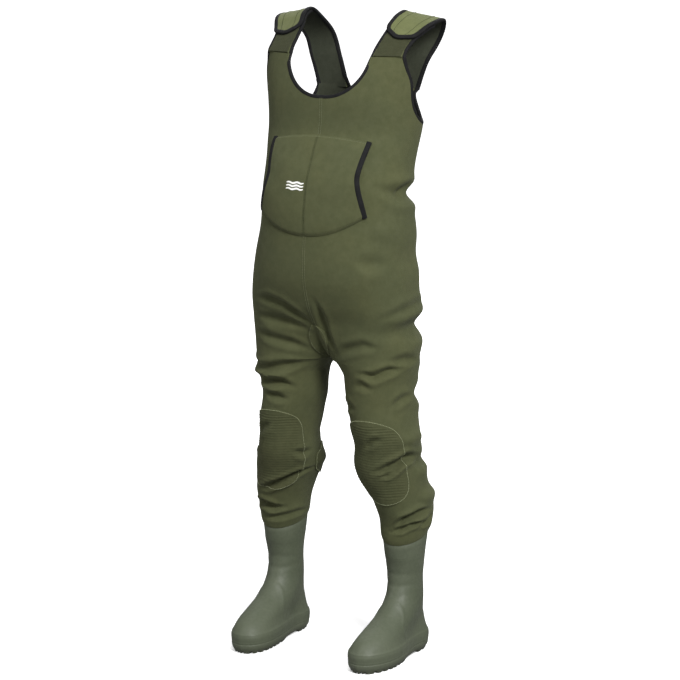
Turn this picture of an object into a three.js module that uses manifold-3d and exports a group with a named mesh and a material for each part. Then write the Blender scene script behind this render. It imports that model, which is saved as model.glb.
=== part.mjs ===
// Chest waders: neoprene bib and trousers, bonded to moulded boots, standing as they are worn.
// Millimetres, +Z up. The wearer faces -Y and the wearer's left is +X.
import * as THREE from "three";
import { mergeVertices } from "three/addons/utils/BufferGeometryUtils.js";
import Module from "manifold-3d";

const wasm = await Module();
wasm.setup();

// Cloth and clearances
const WALL = 5; // foamed neoprene with a knit face on each side
const GAP = 0.3; // between two pieces that touch
const PATCH_LIFT = 1.4; // a flat facet of a patch stays this clear of the round leg
const GIRTH_STEPS = 18; // faces round a leg or a boot
const PATCH = 2.4; // knee and calf patches
const TAPE = 1.2; // seam tape on the inside
const BINDING_R = 3.8; // folded edge binding, half its thickness

// Heights, stacked from the ground up
const BOOT_TOP_Z = 283;
const SHIN_RISE = 185; // boot top to knee
const THIGH_RISE = 224; // knee to crotch
const SEAT_RISE = 138; // crotch to the widest part of the hips
const WAIST_RISE = 248; // hips to waist
const CHEST_RISE = 156; // waist to armpit
const STRAP_RISE = 152; // armpit to the seam across the front strap
const SHOULDER_RISE = 85; // strap seam to the top of the shoulder
const KNEE_Z = BOOT_TOP_Z + SHIN_RISE;
const CROTCH_Z = KNEE_Z + THIGH_RISE;
const HIP_Z = CROTCH_Z + SEAT_RISE;
const WAIST_Z = HIP_Z + WAIST_RISE;
const ARMPIT_Z = WAIST_Z + CHEST_RISE;
const STRAP_SEAM_Z = ARMPIT_Z + STRAP_RISE;
const SHOULDER_Z = STRAP_SEAM_Z + SHOULDER_RISE;

// Widths are half widths along X, depths are half depths along Y
const HIP_WIDTH = 207;
const WAIST_WIDTH = 185;
const CHEST_WIDTH = 190;
const BELLY = 150; // deepest in front, below the pouch
const SEAT = 130;
const WAIST_DEPTH = 110;
const CHEST_DEPTH = 118;
const THIGH_WIDTH = 80;
const KNEE_WIDTH = 72;
const CUFF_WIDTH = 53;
const LEG_DEEPER = 12; // a leg is this much deeper than it is wide, each way
const STANCE_THIGH = 115; // leg axis from the centre plane, at three heights
const STANCE_KNEE = 132;
const STANCE_FOOT = 162;
const BODY_Y = 12; // fore and aft place of the hips, and of the leg at knee and boot
const KNEE_Y = 14;
const SHAFT_Y = 47;
const CHEST_Y = 50;
const BOOT_TOP_TILT = 0.25; // the boot top is higher behind than in front

// Where the trousers can bend: a soft sleeve at each joint, half its height
const HIP_SLEEVE = 94; // all of it below the crotch
const KNEE_SLEEVE = 80;
const CUFF_SLEEVE = 58; // all of it above the boot top

// Bib outline
const NECK_HALF = 106;
const NECK_DROP = 89; // below the strap seam, in front
const BACK_NECK_HALF = 60;
const BACK_TOP_Z = ARMPIT_Z + 72;
const BACK_NECK_Z = ARMPIT_Z + 38;
const STRAP_WIDTH = 64;
const SHOULDER_WIDTH = 84;

// Chest pouch, half widths and heights of its outline
const POUCH_TOP = { x: 119, z: WAIST_Z + 132, rise: 13 };
const POUCH_WAIST = { x: 108 };
const POUCH_FOOT = { x: 130, z: WAIST_Z - 46, drop: 43 };
const POUCH_WALL = 4;
const POUCH_ROOM = 11; // how far the pouch can stand off the bib
const MARK = { x: -28, z: WAIST_Z + 18, width: 44, height: 17 };

// Patches
const KNEE_PATCH = { arc: 0.175, foot: KNEE_Z - 100, top: KNEE_Z + 104 };
const CALF_PATCH = { arc: 0.1, foot: KNEE_Z - 74, top: KNEE_Z + 6 };
const GUSSET_TOP_Z = CROTCH_Z + 88;

// Boot
const SOLE_LENGTH = 292;
const TOE_Y = -170;
const BALL_WIDTH = 49;
const ANKLE_WIDTH = 38.5;
const ANKLE_DEPTH = 48;
const BOOT_WALL = 3.5;
const BOOT_LAP = 20; // boot shaft inside the neoprene leg
const SOLE_TOP_Z = 22;
const SOLE_EDGE = 3; // sole beyond the upper
const FOXING_Z = 46;
const FOXING = 2.2; // thicker wall up to here
const CLEAT = 5;
const CLEAT_PITCH = 18;
const HEEL_FRONT_Y = 50;
const INSOLE = 4;

const GREEN = material(0x4a4e33, 0.9);
const LINING = material(0x3d4230, 0.95);
const RUBBED = material(0x43472d, 0.8);
const BLACK = material(0x15161a, 0.85);
const LOOPS = material(0x6c7344, 0.95);
const MOULDED = material(0x565c46, 0.5);
const PRINT = material(0xe8e8e4, 0.6);

function material(color, roughness) {
  return new THREE.MeshStandardMaterial({ color, roughness, metalness: 0 });
}

const waders = new THREE.Group();

function add(name, geometry, finish, mirrored = false) {
  const mesh = new THREE.Mesh(geometry, finish);
  mesh.name = name;
  if (mirrored) mesh.scale.x = -1;
  waders.add(mesh);
}

// The same piece on the wearer's left and, mirrored, on the right.
function addPair(name, geometry, finish) {
  add(name + "_left", geometry, finish);
  add(name + "_right", geometry.clone(), finish, true);
}

const mix = (a, b, t) => a + (b - a) * t;

function smooth(t) {
  const s = Math.min(Math.max(t, 0), 1);
  return s * s * (3 - 2 * s);
}

// A smooth function through rows of [place, value], flat beyond its ends.
function profile(rows) {
  const at = rows.map((row) => row[0]);
  const is = rows.map((row) => row[1]);
  const last = at.length - 1;
  const slope = is.map((_, i) => {
    const a = Math.max(i - 1, 0);
    const b = Math.min(i + 1, last);
    return (is[b] - is[a]) / (at[b] - at[a]);
  });
  return (z) => {
    const place = Math.min(Math.max(z, at[0]), at[last]);
    const i = Math.min(Math.max(at.findIndex((t) => t > place) - 1, 0), last - 1);
    const end = place >= at[last] ? last - 1 : i;
    const h = at[end + 1] - at[end];
    const t = (place - at[end]) / h;
    const keep = (1 + 2 * t) * (1 - t) ** 2;
    const reach = t * t * (3 - 2 * t);
    const leave = t * (1 - t) ** 2 * h;
    const arrive = t * t * (t - 1) * h;
    return keep * is[end] + reach * is[end + 1] + leave * slope[end] + arrive * slope[end + 1];
  };
}

const halfWidth = profile([
  [CROTCH_Z - 60, HIP_WIDTH - 8],
  [HIP_Z, HIP_WIDTH],
  [mix(HIP_Z, WAIST_Z, 0.6), mix(HIP_WIDTH, WAIST_WIDTH, 0.5)],
  [WAIST_Z, WAIST_WIDTH],
  [ARMPIT_Z, CHEST_WIDTH],
  [STRAP_SEAM_Z, CHEST_WIDTH + 22],
]);
const frontDepth = profile([
  [CROTCH_Z, BELLY - 56],
  [CROTCH_Z + 88, BELLY - 42],
  [HIP_Z, BELLY - 17],
  [HIP_Z + 60, BELLY],
  [WAIST_Z - 92, BELLY - 5],
  [WAIST_Z, WAIST_DEPTH + 24],
  [ARMPIT_Z - 27, CHEST_DEPTH - 4],
  [ARMPIT_Z, CHEST_DEPTH - 2],
  [ARMPIT_Z + 64, CHEST_DEPTH + 4],
  [STRAP_SEAM_Z, CHEST_DEPTH - 6],
]);
const backDepth = profile([
  [CROTCH_Z, SEAT - 28],
  [HIP_Z, SEAT],
  [WAIST_Z, WAIST_DEPTH - 12],
  [ARMPIT_Z, CHEST_DEPTH - 12],
  [STRAP_SEAM_Z, CHEST_DEPTH - 22],
]);
const torsoY = profile([
  [HIP_Z, BODY_Y],
  [WAIST_Z, BODY_Y],
  [mix(WAIST_Z, ARMPIT_Z, 0.6), mix(BODY_Y, CHEST_Y, 0.5)],
  [ARMPIT_Z, CHEST_Y],
  [STRAP_SEAM_Z, CHEST_Y + 24],
]);
const legX = profile([
  [0, STANCE_FOOT],
  [BOOT_TOP_Z, STANCE_FOOT],
  [BOOT_TOP_Z + 60, STANCE_FOOT - 1],
  [KNEE_Z - 20, STANCE_KNEE + 3],
  [KNEE_Z + 40, STANCE_KNEE],
  [CROTCH_Z - 50, STANCE_THIGH],
  [CROTCH_Z, STANCE_THIGH - 3],
  [HIP_Z, STANCE_THIGH - 8],
]);
const legY = profile([
  [0, SHAFT_Y - 6],
  [BOOT_TOP_Z, SHAFT_Y],
  [BOOT_TOP_Z + 60, SHAFT_Y],
  [KNEE_Z - 30, mix(SHAFT_Y, KNEE_Y, 0.7)],
  [KNEE_Z + 40, KNEE_Y - 2],
  [CROTCH_Z, BODY_Y],
]);
const legWidth = profile([
  [BOOT_TOP_Z, CUFF_WIDTH],
  [BOOT_TOP_Z + 40, CUFF_WIDTH + 6],
  [BOOT_TOP_Z + 100, KNEE_WIDTH - 4],
  [KNEE_Z - 25, KNEE_WIDTH + 3],
  [KNEE_Z + 30, KNEE_WIDTH],
  [KNEE_Z + 90, THIGH_WIDTH - 3],
  [CROTCH_Z - 50, THIGH_WIDTH],
  [CROTCH_Z, THIGH_WIDTH + 6],
]);
const legTilt = profile([
  [BOOT_TOP_Z, BOOT_TOP_TILT],
  [BOOT_TOP_Z + 110, 0],
]);

// A point of the body's outer face on the wearer's left. u runs from the front centre line at 0
// over the side at 0.5 to the back centre line at 1; below the crotch both ends meet at the inseam.
function bodyPoint(u, z) {
  const turn = Math.PI * u;
  const front = turn < Math.PI / 2;
  const depth = front ? frontDepth(z) : backDepth(z);
  const oval = [
    halfWidth(z) * Math.max(Math.sin(turn), 0) ** 0.9,
    torsoY(z) - Math.sign(Math.cos(turn)) * depth * Math.abs(Math.cos(turn)) ** 0.9,
  ];
  const share = 1 - smooth((z - (HIP_Z - 90)) / 150);
  if (share === 0) return new THREE.Vector3(oval[0], oval[1], z);
  const leg = legSection(u, z, front ? frontDepth(z) : backDepth(z));
  return new THREE.Vector3(mix(oval[0], leg[0], share), mix(oval[1], leg[1], share), z + leg[2]);
}

function legSection(u, z, bodyDepth) {
  const round = Math.PI * (2 * u - 1);
  const across = Math.cos(round);
  const along = Math.sin(round);
  const inBody = smooth((z - CROTCH_Z + 30) / 110);
  const depth = mix(legWidth(z) + LEG_DEEPER, bodyDepth, inBody);
  const outer = z > CROTCH_Z - 60
    ? mix(legWidth(z), halfWidth(z) - legX(z), smooth((z - CROTCH_Z + 60) / 60))
    : legWidth(z);
  const arch = Math.sqrt(Math.min(Math.max((CROTCH_Z - z) / 32, 0), 1));
  const inner = mix(legX(z), legWidth(z), arch);
  const below = Math.min(Math.max((HIP_Z - z) / (SEAT_RISE - 1), 0), 1);
  const saddle = depth * Math.sqrt(1 - below ** 2);
  const y = across >= 0
    ? depth * along
    : Math.sign(along) * Math.sqrt(saddle ** 2 + (depth ** 2 - saddle ** 2) * along ** 2);
  const x = legX(z) + (across >= 0 ? outer : inner) * across;
  return [x, legY(z) + y, legTilt(z) * y];
}

function outward(point, u, z, dz = 1.5) {
  const du = 0.004;
  const alongU = point(u + du, z).sub(point(u - du, z));
  const alongZ = point(u, z + dz).sub(point(u, z - dz));
  return alongU.cross(alongZ).normalize();
}

// A point moved off the body's outer face, outwards if the distance is positive.
function offBody(u, z, distance) {
  const inside = z > CROTCH_Z - 40 ? Math.min(Math.max(u, 0.012), 0.988) : u;
  const dz = Math.abs(z - CROTCH_Z) < 30 ? 8 : 2; // wider at the crotch, where the face turns sharply
  const p = bodyPoint(u, z).addScaledVector(outward(bodyPoint, inside, z, dz), distance);
  p.x = Math.max(p.x, GAP / 2);
  return p;
}

// A closed solid between two grids of points, grid[row][column]. Closed grids join round.
function solidBetween(outer, inner, round) {
  const rows = outer.length;
  const columns = outer[0].length;
  const points = [...outer.flat(), ...inner.flat()];
  const faces = [];
  const quad = (a, b, c, d) => faces.push(a, b, c, a, c, d);
  const out = (r, c) => r * columns + (c % columns);
  const into = (r, c) => rows * columns + out(r, c);
  const spans = round ? columns : columns - 1;
  for (let r = 0; r < rows - 1; r++) {
    for (let c = 0; c < spans; c++) {
      quad(out(r, c), out(r, c + 1), out(r + 1, c + 1), out(r + 1, c));
      quad(into(r, c), into(r + 1, c), into(r + 1, c + 1), into(r, c + 1));
    }
  }
  for (let c = 0; c < spans; c++) {
    quad(out(0, c), into(0, c), into(0, c + 1), out(0, c + 1));
    quad(out(rows - 1, c), out(rows - 1, c + 1), into(rows - 1, c + 1), into(rows - 1, c));
  }
  for (let r = 0; r < rows - 1 && !round; r++) {
    quad(out(r, 0), out(r + 1, 0), into(r + 1, 0), into(r, 0));
    const c = columns - 1;
    quad(out(r, c), into(r, c), into(r + 1, c), out(r + 1, c));
  }
  return geometryOf(points, faces);
}

function geometryOf(points, faces) {
  const geometry = new THREE.BufferGeometry().setFromPoints(points);
  return geometry.setIndex(faces);
}

const steps = (from, to, count) =>
  Array.from({ length: count + 1 }, (_, i) => mix(from, to, i / count));

// Cloth between two distances off the body, over given u and z.
function cloth(us, zs, outerOff, innerOff, round = false) {
  const grid = (off) => zs.map((z) => us.map((u) => offBody(u, z, off)));
  return solidBetween(grid(outerOff), grid(innerOff), round);
}

function solid(geometry) {
  const plain = (geometry.index ? geometry.toNonIndexed() : geometry.clone());
  plain.deleteAttribute("normal");
  plain.deleteAttribute("uv");
  const merged = mergeVertices(plain, 1e-4);
  return new wasm.Manifold(
    new wasm.Mesh({
      numProp: 3,
      vertProperties: merged.attributes.position.array,
      triVerts: new Uint32Array(merged.index.array),
    }),
  );
}

function shape(manifold) {
  const mesh = manifold.getMesh();
  const geometry = new THREE.BufferGeometry();
  geometry.setAttribute("position", new THREE.BufferAttribute(mesh.vertProperties, 3));
  return geometry.setIndex(new THREE.BufferAttribute(mesh.triVerts, 1));
}

const cut = (geometry, ...tools) =>
  shape(tools.reduce((left, tool) => left.subtract(solid(tool)), solid(geometry)));

function tube(points, radius, count) {
  const ring = new THREE.Shape().absarc(0, 0, radius, 0, 2 * Math.PI);
  const line = new THREE.CatmullRomCurve3(points, false, "centripetal");
  return new THREE.ExtrudeGeometry(ring, { steps: count, curveSegments: 3, extrudePath: line });
}

function polygon(points) {
  return new THREE.Shape(points.map(([x, y]) => new THREE.Vector2(x, y)));
}

// ---------------------------------------------------------------- bib cutters

// A U with a flat-sided throat: half width, foot and top, drawn in XZ and pushed through Y.
function throat(half, foot, top, fromY, toY) {
  const round = 10;
  const corner = Math.min(half * 0.92, (top - foot) * 0.9);
  const arc = steps(0, Math.PI / 2, round).map((t) => [
    half - corner + corner * Math.sin(t),
    foot + corner - corner * Math.cos(t),
  ]);
  const right = [...arc, [half, top]];
  const left = right.map(([x, z]) => [-x, z]).reverse();
  const outline = [...right, ...left];
  const block = new THREE.ExtrudeGeometry(polygon(outline), { depth: toY - fromY, bevelEnabled: false });
  return block.rotateX(Math.PI / 2).translate(0, toY, 0);
}

// The armhole seen from the side, in YZ, as an edge from the front strap round the armpit to the back.
const ARMHOLE = [
  [14, STRAP_SEAM_Z + 20],
  [8, STRAP_SEAM_Z - 20],
  [17, STRAP_SEAM_Z - 56],
  [23, ARMPIT_Z + 50],
  [36, ARMPIT_Z + 24],
  [62, ARMPIT_Z + 5],
  [86, ARMPIT_Z],
  [110, ARMPIT_Z + 8],
  [130, ARMPIT_Z + 30],
  [143, ARMPIT_Z + 62],
  [147, STRAP_SEAM_Z + 20],
];

function armholeCutter() {
  const edge = new THREE.SplineCurve(ARMHOLE.map(([y, z]) => new THREE.Vector2(y, z)));
  const block = new THREE.ExtrudeGeometry(new THREE.Shape(edge.getPoints(26)), {
    depth: 200,
    bevelEnabled: false,
  });
  // Shape x is Y and shape y is Z: turn them there, with the block running out along +X.
  const turn = new THREE.Matrix4().makeBasis(
    new THREE.Vector3(0, 1, 0),
    new THREE.Vector3(0, 0, 1),
    new THREE.Vector3(1, 0, 0),
  );
  return block.applyMatrix4(turn).translate(NECK_HALF + 16, 0, 0);
}

// Where the body's face, at height z, is this far out along X, in front or behind.
function uAtX(x, z, front) {
  let [low, high] = front ? [0, 0.5] : [1, 0.5];
  for (let i = 0; i < 40; i++) {
    const middle = (low + high) / 2;
    if (bodyPoint(middle, z).x < x) low = middle;
    else high = middle;
  }
  return (low + high) / 2;
}

// Where the body's face, at height z, is this far back along Y.
function uAtY(y, z) {
  let [low, high] = [0, 1];
  for (let i = 0; i < 40; i++) {
    const middle = (low + high) / 2;
    if (bodyPoint(middle, z).y < y) low = middle;
    else high = middle;
  }
  return (low + high) / 2;
}

// ---------------------------------------------------------------- straps

// Centre line of the strap over the wearer's left shoulder, from the front seam to the back seam.
const FRONT_SEAM = offBody(uAtX(NECK_HALF + STRAP_WIDTH / 2 + 4, STRAP_SEAM_Z, true), STRAP_SEAM_Z, 0);
const BACK_SEAM = offBody(uAtX(BACK_NECK_HALF + 34, BACK_TOP_Z, false), BACK_TOP_Z, 0);
const STRAP_LINE = new THREE.CatmullRomCurve3(
  [
    [FRONT_SEAM.x, FRONT_SEAM.y, STRAP_SEAM_Z],
    [FRONT_SEAM.x + 1, FRONT_SEAM.y + 32, STRAP_SEAM_Z + 28],
    [FRONT_SEAM.x + 6, FRONT_SEAM.y + 64, STRAP_SEAM_Z + 53],
    [FRONT_SEAM.x + 16, FRONT_SEAM.y + 92, STRAP_SEAM_Z + 72],
    [FRONT_SEAM.x + 23, FRONT_SEAM.y + 120, SHOULDER_Z - 5],
    [FRONT_SEAM.x + 21, FRONT_SEAM.y + 140, SHOULDER_Z - 6],
    [FRONT_SEAM.x + 13, FRONT_SEAM.y + 155, SHOULDER_Z - 20],
    [mix(BACK_SEAM.x, FRONT_SEAM.x, 0.85), BACK_SEAM.y + 5, SHOULDER_Z - 54],
    [mix(BACK_SEAM.x, FRONT_SEAM.x, 0.4), BACK_SEAM.y + 3, mix(BACK_TOP_Z, SHOULDER_Z, 0.36)],
    [BACK_SEAM.x, BACK_SEAM.y, BACK_TOP_Z],
  ].map(([x, y, z]) => new THREE.Vector3(x, y, z)),
  false,
  "centripetal",
);
const SHARES = 40; // the strap's pieces all have rows at fortieths of its line
const FLAP_FROM = 7;
const TAPE_FROM = 9;
const TAPE_TO = 15;
const PILE_TO = 16;
const HINGE_AT = 20;
const PILE = 1;

// The strap's own directions at a share of its line: across it towards the arm, and out of its face.
function strapFrame(t) {
  const within = Math.min(Math.max(t, 0), 1);
  const along = STRAP_LINE.getTangentAt(within);
  const at = STRAP_LINE.getPointAt(within).addScaledVector(along, (t - within) * STRAP_LINE.getLength());
  const overShoulder = Math.sin(Math.PI * smooth((t - 0.08) / 0.84));
  const across = new THREE.Vector3(1, 0.3 * (1 - smooth((t - 0.5) / 0.3)), -0.2 * overShoulder);
  across.addScaledVector(along, -across.dot(along)).normalize();
  const face = new THREE.Vector3().crossVectors(across, along).normalize();
  return { at, across, face };
}

const strapHalf = profile([
  [0, STRAP_WIDTH / 2],
  [0.2, STRAP_WIDTH / 2],
  [HINGE_AT / SHARES, SHOULDER_WIDTH / 2],
  [0.75, STRAP_WIDTH / 2 + 3],
  [1, STRAP_WIDTH / 2 + 2],
]);

function strapPoint(t, side, off) {
  const { at, across, face } = strapFrame(t);
  return at.clone().addScaledVector(across, side).addScaledVector(face, off);
}

// Cloth along the strap between distances off its line, which may change along it.
function strapCloth(shares, half, high, low) {
  const row = (t, i, off) => [-1, -0.5, 0, 0.5, 1].map((side) => strapPoint(t, side * half(t, i), off(t)));
  const grid = (off) => shares.map((t, i) => row(t, i, off));
  return solidBetween(grid(high), grid(low), false);
}

const always = (value) => () => value;
const shares = (from, to) => steps(from / SHARES, to / SHARES, to - from);
const TOP_OFF = WALL + 2 * PILE + 3 * GAP; // the flap lies on its hook tape and the loop pile
const backOff = (t) => mix(TOP_OFF, 0, smooth((t - HINGE_AT / SHARES) / 0.35));

// Edge binding runs along a strap this far beyond its edge.
const EDGE = GAP + BINDING_R;
const strapEdge = (list, side, off) =>
  list.map((t) => strapPoint(t, side * (strapHalf(t) + EDGE), off(t) - WALL / 2));
const frontEdge = (side) => strapEdge(shares(2, PILE_TO), side, always(0));
const backEdge = (side) => strapEdge(
  [0.965, 0.9, 0.84, 0.78, 0.72, 0.66, 0.61, 0.57, 0.54, 0.515],
  side,
  backOff,
);

const FLAP_NOSE = 0.055;
const flapShares = [
  ...steps(0, 1, 5).map((s) => FLAP_FROM / SHARES + FLAP_NOSE * (1 - Math.cos((s * Math.PI) / 2))),
  ...shares(FLAP_FROM + 3, HINGE_AT),
];
const flapHalf = (t) => {
  const s = Math.min((t - FLAP_FROM / SHARES) / FLAP_NOSE, 1);
  return (strapHalf(t) + 1) * Math.sqrt(Math.max(0.15, s * (2 - s)));
};

function buildStraps(frontPath, armPath) {
  const rim = BINDING_R + GAP;
  const below = new THREE.BoxGeometry(120, 120, 60)
    .translate(FRONT_SEAM.x, FRONT_SEAM.y, STRAP_SEAM_Z + GAP - 30);
  const front = strapCloth(steps(-0.01, PILE_TO / SHARES, 9), strapHalf, always(0), always(-WALL));
  addPair("front_strap", cut(front, below, tube(frontPath, rim, 42), tube(armPath, rim, 42)), GREEN);
  const inset = (by) => (t) => strapHalf(t) - by;
  addPair("loop_pile", strapCloth(shares(1, PILE_TO), inset(5), always(GAP + PILE), always(GAP)), LOOPS);
  const onPile = GAP + PILE + GAP;
  addPair("hook_tape",
    strapCloth(shares(TAPE_FROM, TAPE_TO), inset(9), always(onPile + PILE), always(onPile)), BLACK);

  const flap = strapCloth(flapShares, flapHalf, always(TOP_OFF), always(TOP_OFF - WALL));
  const edge = (side) => flapShares.map((t) => strapPoint(t, side * (flapHalf(t) + EDGE), TOP_OFF - WALL / 2));
  const tip = strapPoint(FLAP_FROM / SHARES - 0.011, 0, TOP_OFF - WALL / 2);
  const round = [...edge(-1).reverse().slice(0, -1), tip, ...edge(1).slice(1)];
  addPair("strap_flap", cut(flap, tube(round, rim, 28)), GREEN);
  addPair("flap_binding", tube(round, BINDING_R, 28), BLACK);

  const list = [HINGE_AT / SHARES + 0.001, 0.52, 0.54, 0.57, 0.61, 0.66, 0.72, 0.8, 0.9, 1.01];
  const back = strapCloth(list, strapHalf, backOff, (t) => backOff(t) - WALL);
  const under = new THREE.BoxGeometry(160, 120, 60)
    .translate(BACK_SEAM.x, BACK_SEAM.y, BACK_TOP_Z + GAP - 30);
  addPair("back_strap", cut(back, under, tube(backPath(), rim, 36), tube(armPath, rim, 42)), GREEN);
}

// ---------------------------------------------------------------- bib and trousers

const mirror = (points) => points.map((p) => new THREE.Vector3(-p.x, p.y, p.z));

// Middle of the wall along a neckline, on the wearer's left, from the centre to the strap.
function neckEdge(front) {
  const half = front ? NECK_HALF : BACK_NECK_HALF;
  const foot = front ? STRAP_SEAM_Z - NECK_DROP : BACK_NECK_Z;
  const top = front ? STRAP_SEAM_Z : BACK_TOP_Z;
  const corner = Math.min(half * 0.92, (top + 40 - foot) * 0.9);
  const arc = steps(0, 1.45, 7).map((t) => [
    half - corner + corner * Math.sin(t),
    foot + corner - corner * Math.cos(t),
  ]);
  return [[0, foot], ...arc.filter(([x, z]) => z < top - 12 && x > 8)].map(([x, z]) => {
    const p = offBody(x ? uAtX(x, z, front) : Number(!front), z, -WALL / 2);
    return x ? p : new THREE.Vector3(0, p.y, p.z);
  });
}

const armEdge = () => ARMHOLE.slice(1, -1)
  .filter(([, z]) => z < STRAP_SEAM_Z - 24)
  .map(([y, z]) => offBody(uAtY(y, z), z, -WALL / 2));

function bothSides(edge, strap) {
  return [...mirror(strap).reverse(), ...mirror(edge).reverse(), ...edge.slice(1), ...strap];
}

const neckPath = () => bothSides(neckEdge(true), frontEdge(-1));
const backPath = () => bothSides(neckEdge(false), backEdge(-1));
const armholePath = () => [...frontEdge(1).reverse(), ...armEdge(), ...backEdge(1)];

const SEAM_TAPE_HALF = 0.018; // as a share of the half girth
const SEAT_ROWS = [GAP, 3, 8, 16, 27, 40, 60, 85].map((rise) => CROTCH_Z + rise);
const BIB_ROWS = [...steps(HIP_Z, ARMPIT_Z - 30, 7), ARMPIT_Z];
const NECK_ROWS = steps(ARMPIT_Z + 35, STRAP_SEAM_Z - GAP, 4);

function buildBody() {
  const seam = 0.0004; // half the gap at the centre seams, as a share of the half girth
  const us = [seam, SEAM_TAPE_HALF, ...steps(0.06, 0.94, 14), 1 - SEAM_TAPE_HALF, 1 - seam];
  const rows = [...SEAT_ROWS, ...BIB_ROWS, ...NECK_ROWS];
  const rim = BINDING_R + GAP;
  const neck = throat(NECK_HALF, STRAP_SEAM_Z - NECK_DROP, STRAP_SEAM_Z + 40, -160, BODY_Y);
  const backNeck = throat(BACK_NECK_HALF, BACK_NECK_Z, BACK_TOP_Z + 400, CHEST_Y, 260);
  const aboveBack = new THREE.BoxGeometry(600, 200, 400).translate(0, CHEST_Y + 100, BACK_TOP_Z - GAP + 200);
  const half = cut(cloth(us, rows, 0, -WALL), neck, backNeck, armholeCutter(), aboveBack,
    tube(neckPath(), rim, 42), tube(backPath(), rim, 36), tube(armholePath(), rim, 42));
  addPair("body_half", half, GREEN);
  add("neck_binding", tube(neckPath(), BINDING_R, 42), BLACK);
  add("back_neck_binding", tube(backPath(), BINDING_R, 36), BLACK);
  addPair("armhole_binding", tube(armholePath(), BINDING_R, 42), BLACK);
}

// A sheet over the centre seam: x runs both ways and the body mirrors it.
function centreSheet(columns, zAt, xAt, front, high, low) {
  const list = steps(-1, 1, columns);
  const point = (c, r, off) => {
    const z = zAt(Math.abs(c), r);
    const x = Math.abs(c) * xAt(r);
    const p = offBody(x < 1 ? Number(!front) : uAtX(x, z, front), z, off(r));
    if (x < 1) p.x = 0;
    return c < 0 ? new THREE.Vector3(-p.x, p.y, p.z) : p;
  };
  const turn = front ? list : [...list].reverse();
  return (rows) => {
    const grid = (off) => rows.map((r) => turn.map((c) => point(c, r, off)));
    return solidBetween(grid(high), grid(low), false);
  };
}

function buildPouch() {
  const bulge = (r) => POUCH_ROOM * Math.sin(Math.PI * r) ** 0.7;
  const width = profile([[0, POUCH_TOP.x], [0.45, POUCH_WAIST.x], [0.62, POUCH_WAIST.x + 4], [1, POUCH_FOOT.x]]);
  const top = (c) => POUCH_TOP.z - POUCH_TOP.rise * c ** 2;
  const foot = (c) => POUCH_FOOT.z - POUCH_FOOT.drop * (1 - c ** 2.2);
  const rows = steps(0, 1, 9);
  const zAt = (c, r) => mix(foot(c), top(c), r);
  const xAt = (r) => width(1 - r);
  const face = (r) => 4 * GAP + POUCH_WALL + bulge(r);
  const panel = centreSheet(14, zAt, xAt, true, face, (r) => face(r) - POUCH_WALL)(rows);
  const edge = rows.map((r) => {
    const z = zAt(1, r);
    const off = Math.max(face(r) - POUCH_WALL / 2, EDGE + 1);
    return offBody(uAtX(xAt(r) + EDGE, z, true), z, off);
  });
  add("pouch_panel", cut(panel, tube(edge, EDGE, 12), tube(mirror(edge), EDGE, 12)), GREEN);
  addPair("pouch_binding", tube(edge, BINDING_R, 12), BLACK);

  const mark = { x: MARK.x, z: MARK.z };
  const at = (dx, dz, lift) => {
    const x = Math.abs(mark.x + dx);
    const r = (mark.z + dz - foot(x / POUCH_TOP.x)) / (top(0) - foot(0));
    const z = mark.z + dz;
    const p = offBody(uAtX(x, z, true), z, face(r) + GAP + lift);
    p.x = mark.x + dx;
    return p;
  };
  const us = steps(-MARK.width / 2, MARK.width / 2, 4);
  const zs = steps(-MARK.height / 2, MARK.height / 2, 2);
  const grid = (lift) => zs.map((dz) => us.map((dx) => at(dx, dz, lift)));
  add("pouch_print", solidBetween(grid(0.9), grid(0.3), false), PRINT);
}

function buildInside() {
  const tape = (front, zs) => {
    const us = front ? [0, SEAM_TAPE_HALF] : [1 - SEAM_TAPE_HALF, 1];
    const row = (z, off) => {
      const side = us.map((u) => offBody(u, z, off));
      side[front ? 0 : 1].x = 0;
      const other = mirror(side).reverse();
      return front ? [...other, side[1]] : [...side, other[1]];
    };
    const grid = (off) => zs.map((z) => row(z, off));
    return solidBetween(grid(-WALL - GAP), grid(-WALL - GAP - TAPE), false);
  };
  const below = (top) => [...BIB_ROWS, NECK_ROWS[0]].filter((z) => z < top - BINDING_R - 6);
  add("front_seam_tape", tape(true, below(STRAP_SEAM_Z - NECK_DROP)), LINING);
  add("back_seam_tape", tape(false, below(BACK_NECK_Z)), LINING);
}

function buildGusset() {
  for (const front of [true, false]) {
    const width = (r) => 26 * Math.sin(Math.PI * mix(0.1, 0.93, r)) ** 0.7;
    const leaf = centreSheet(4, (_, r) => mix(CROTCH_Z + 12, GUSSET_TOP_Z, r), width, front,
      always(4 * GAP + PATCH), always(4 * GAP));
    add(front ? "crotch_gusset" : "seat_gusset", leaf(steps(0, 1, 8)), GREEN);
  }
}

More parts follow.
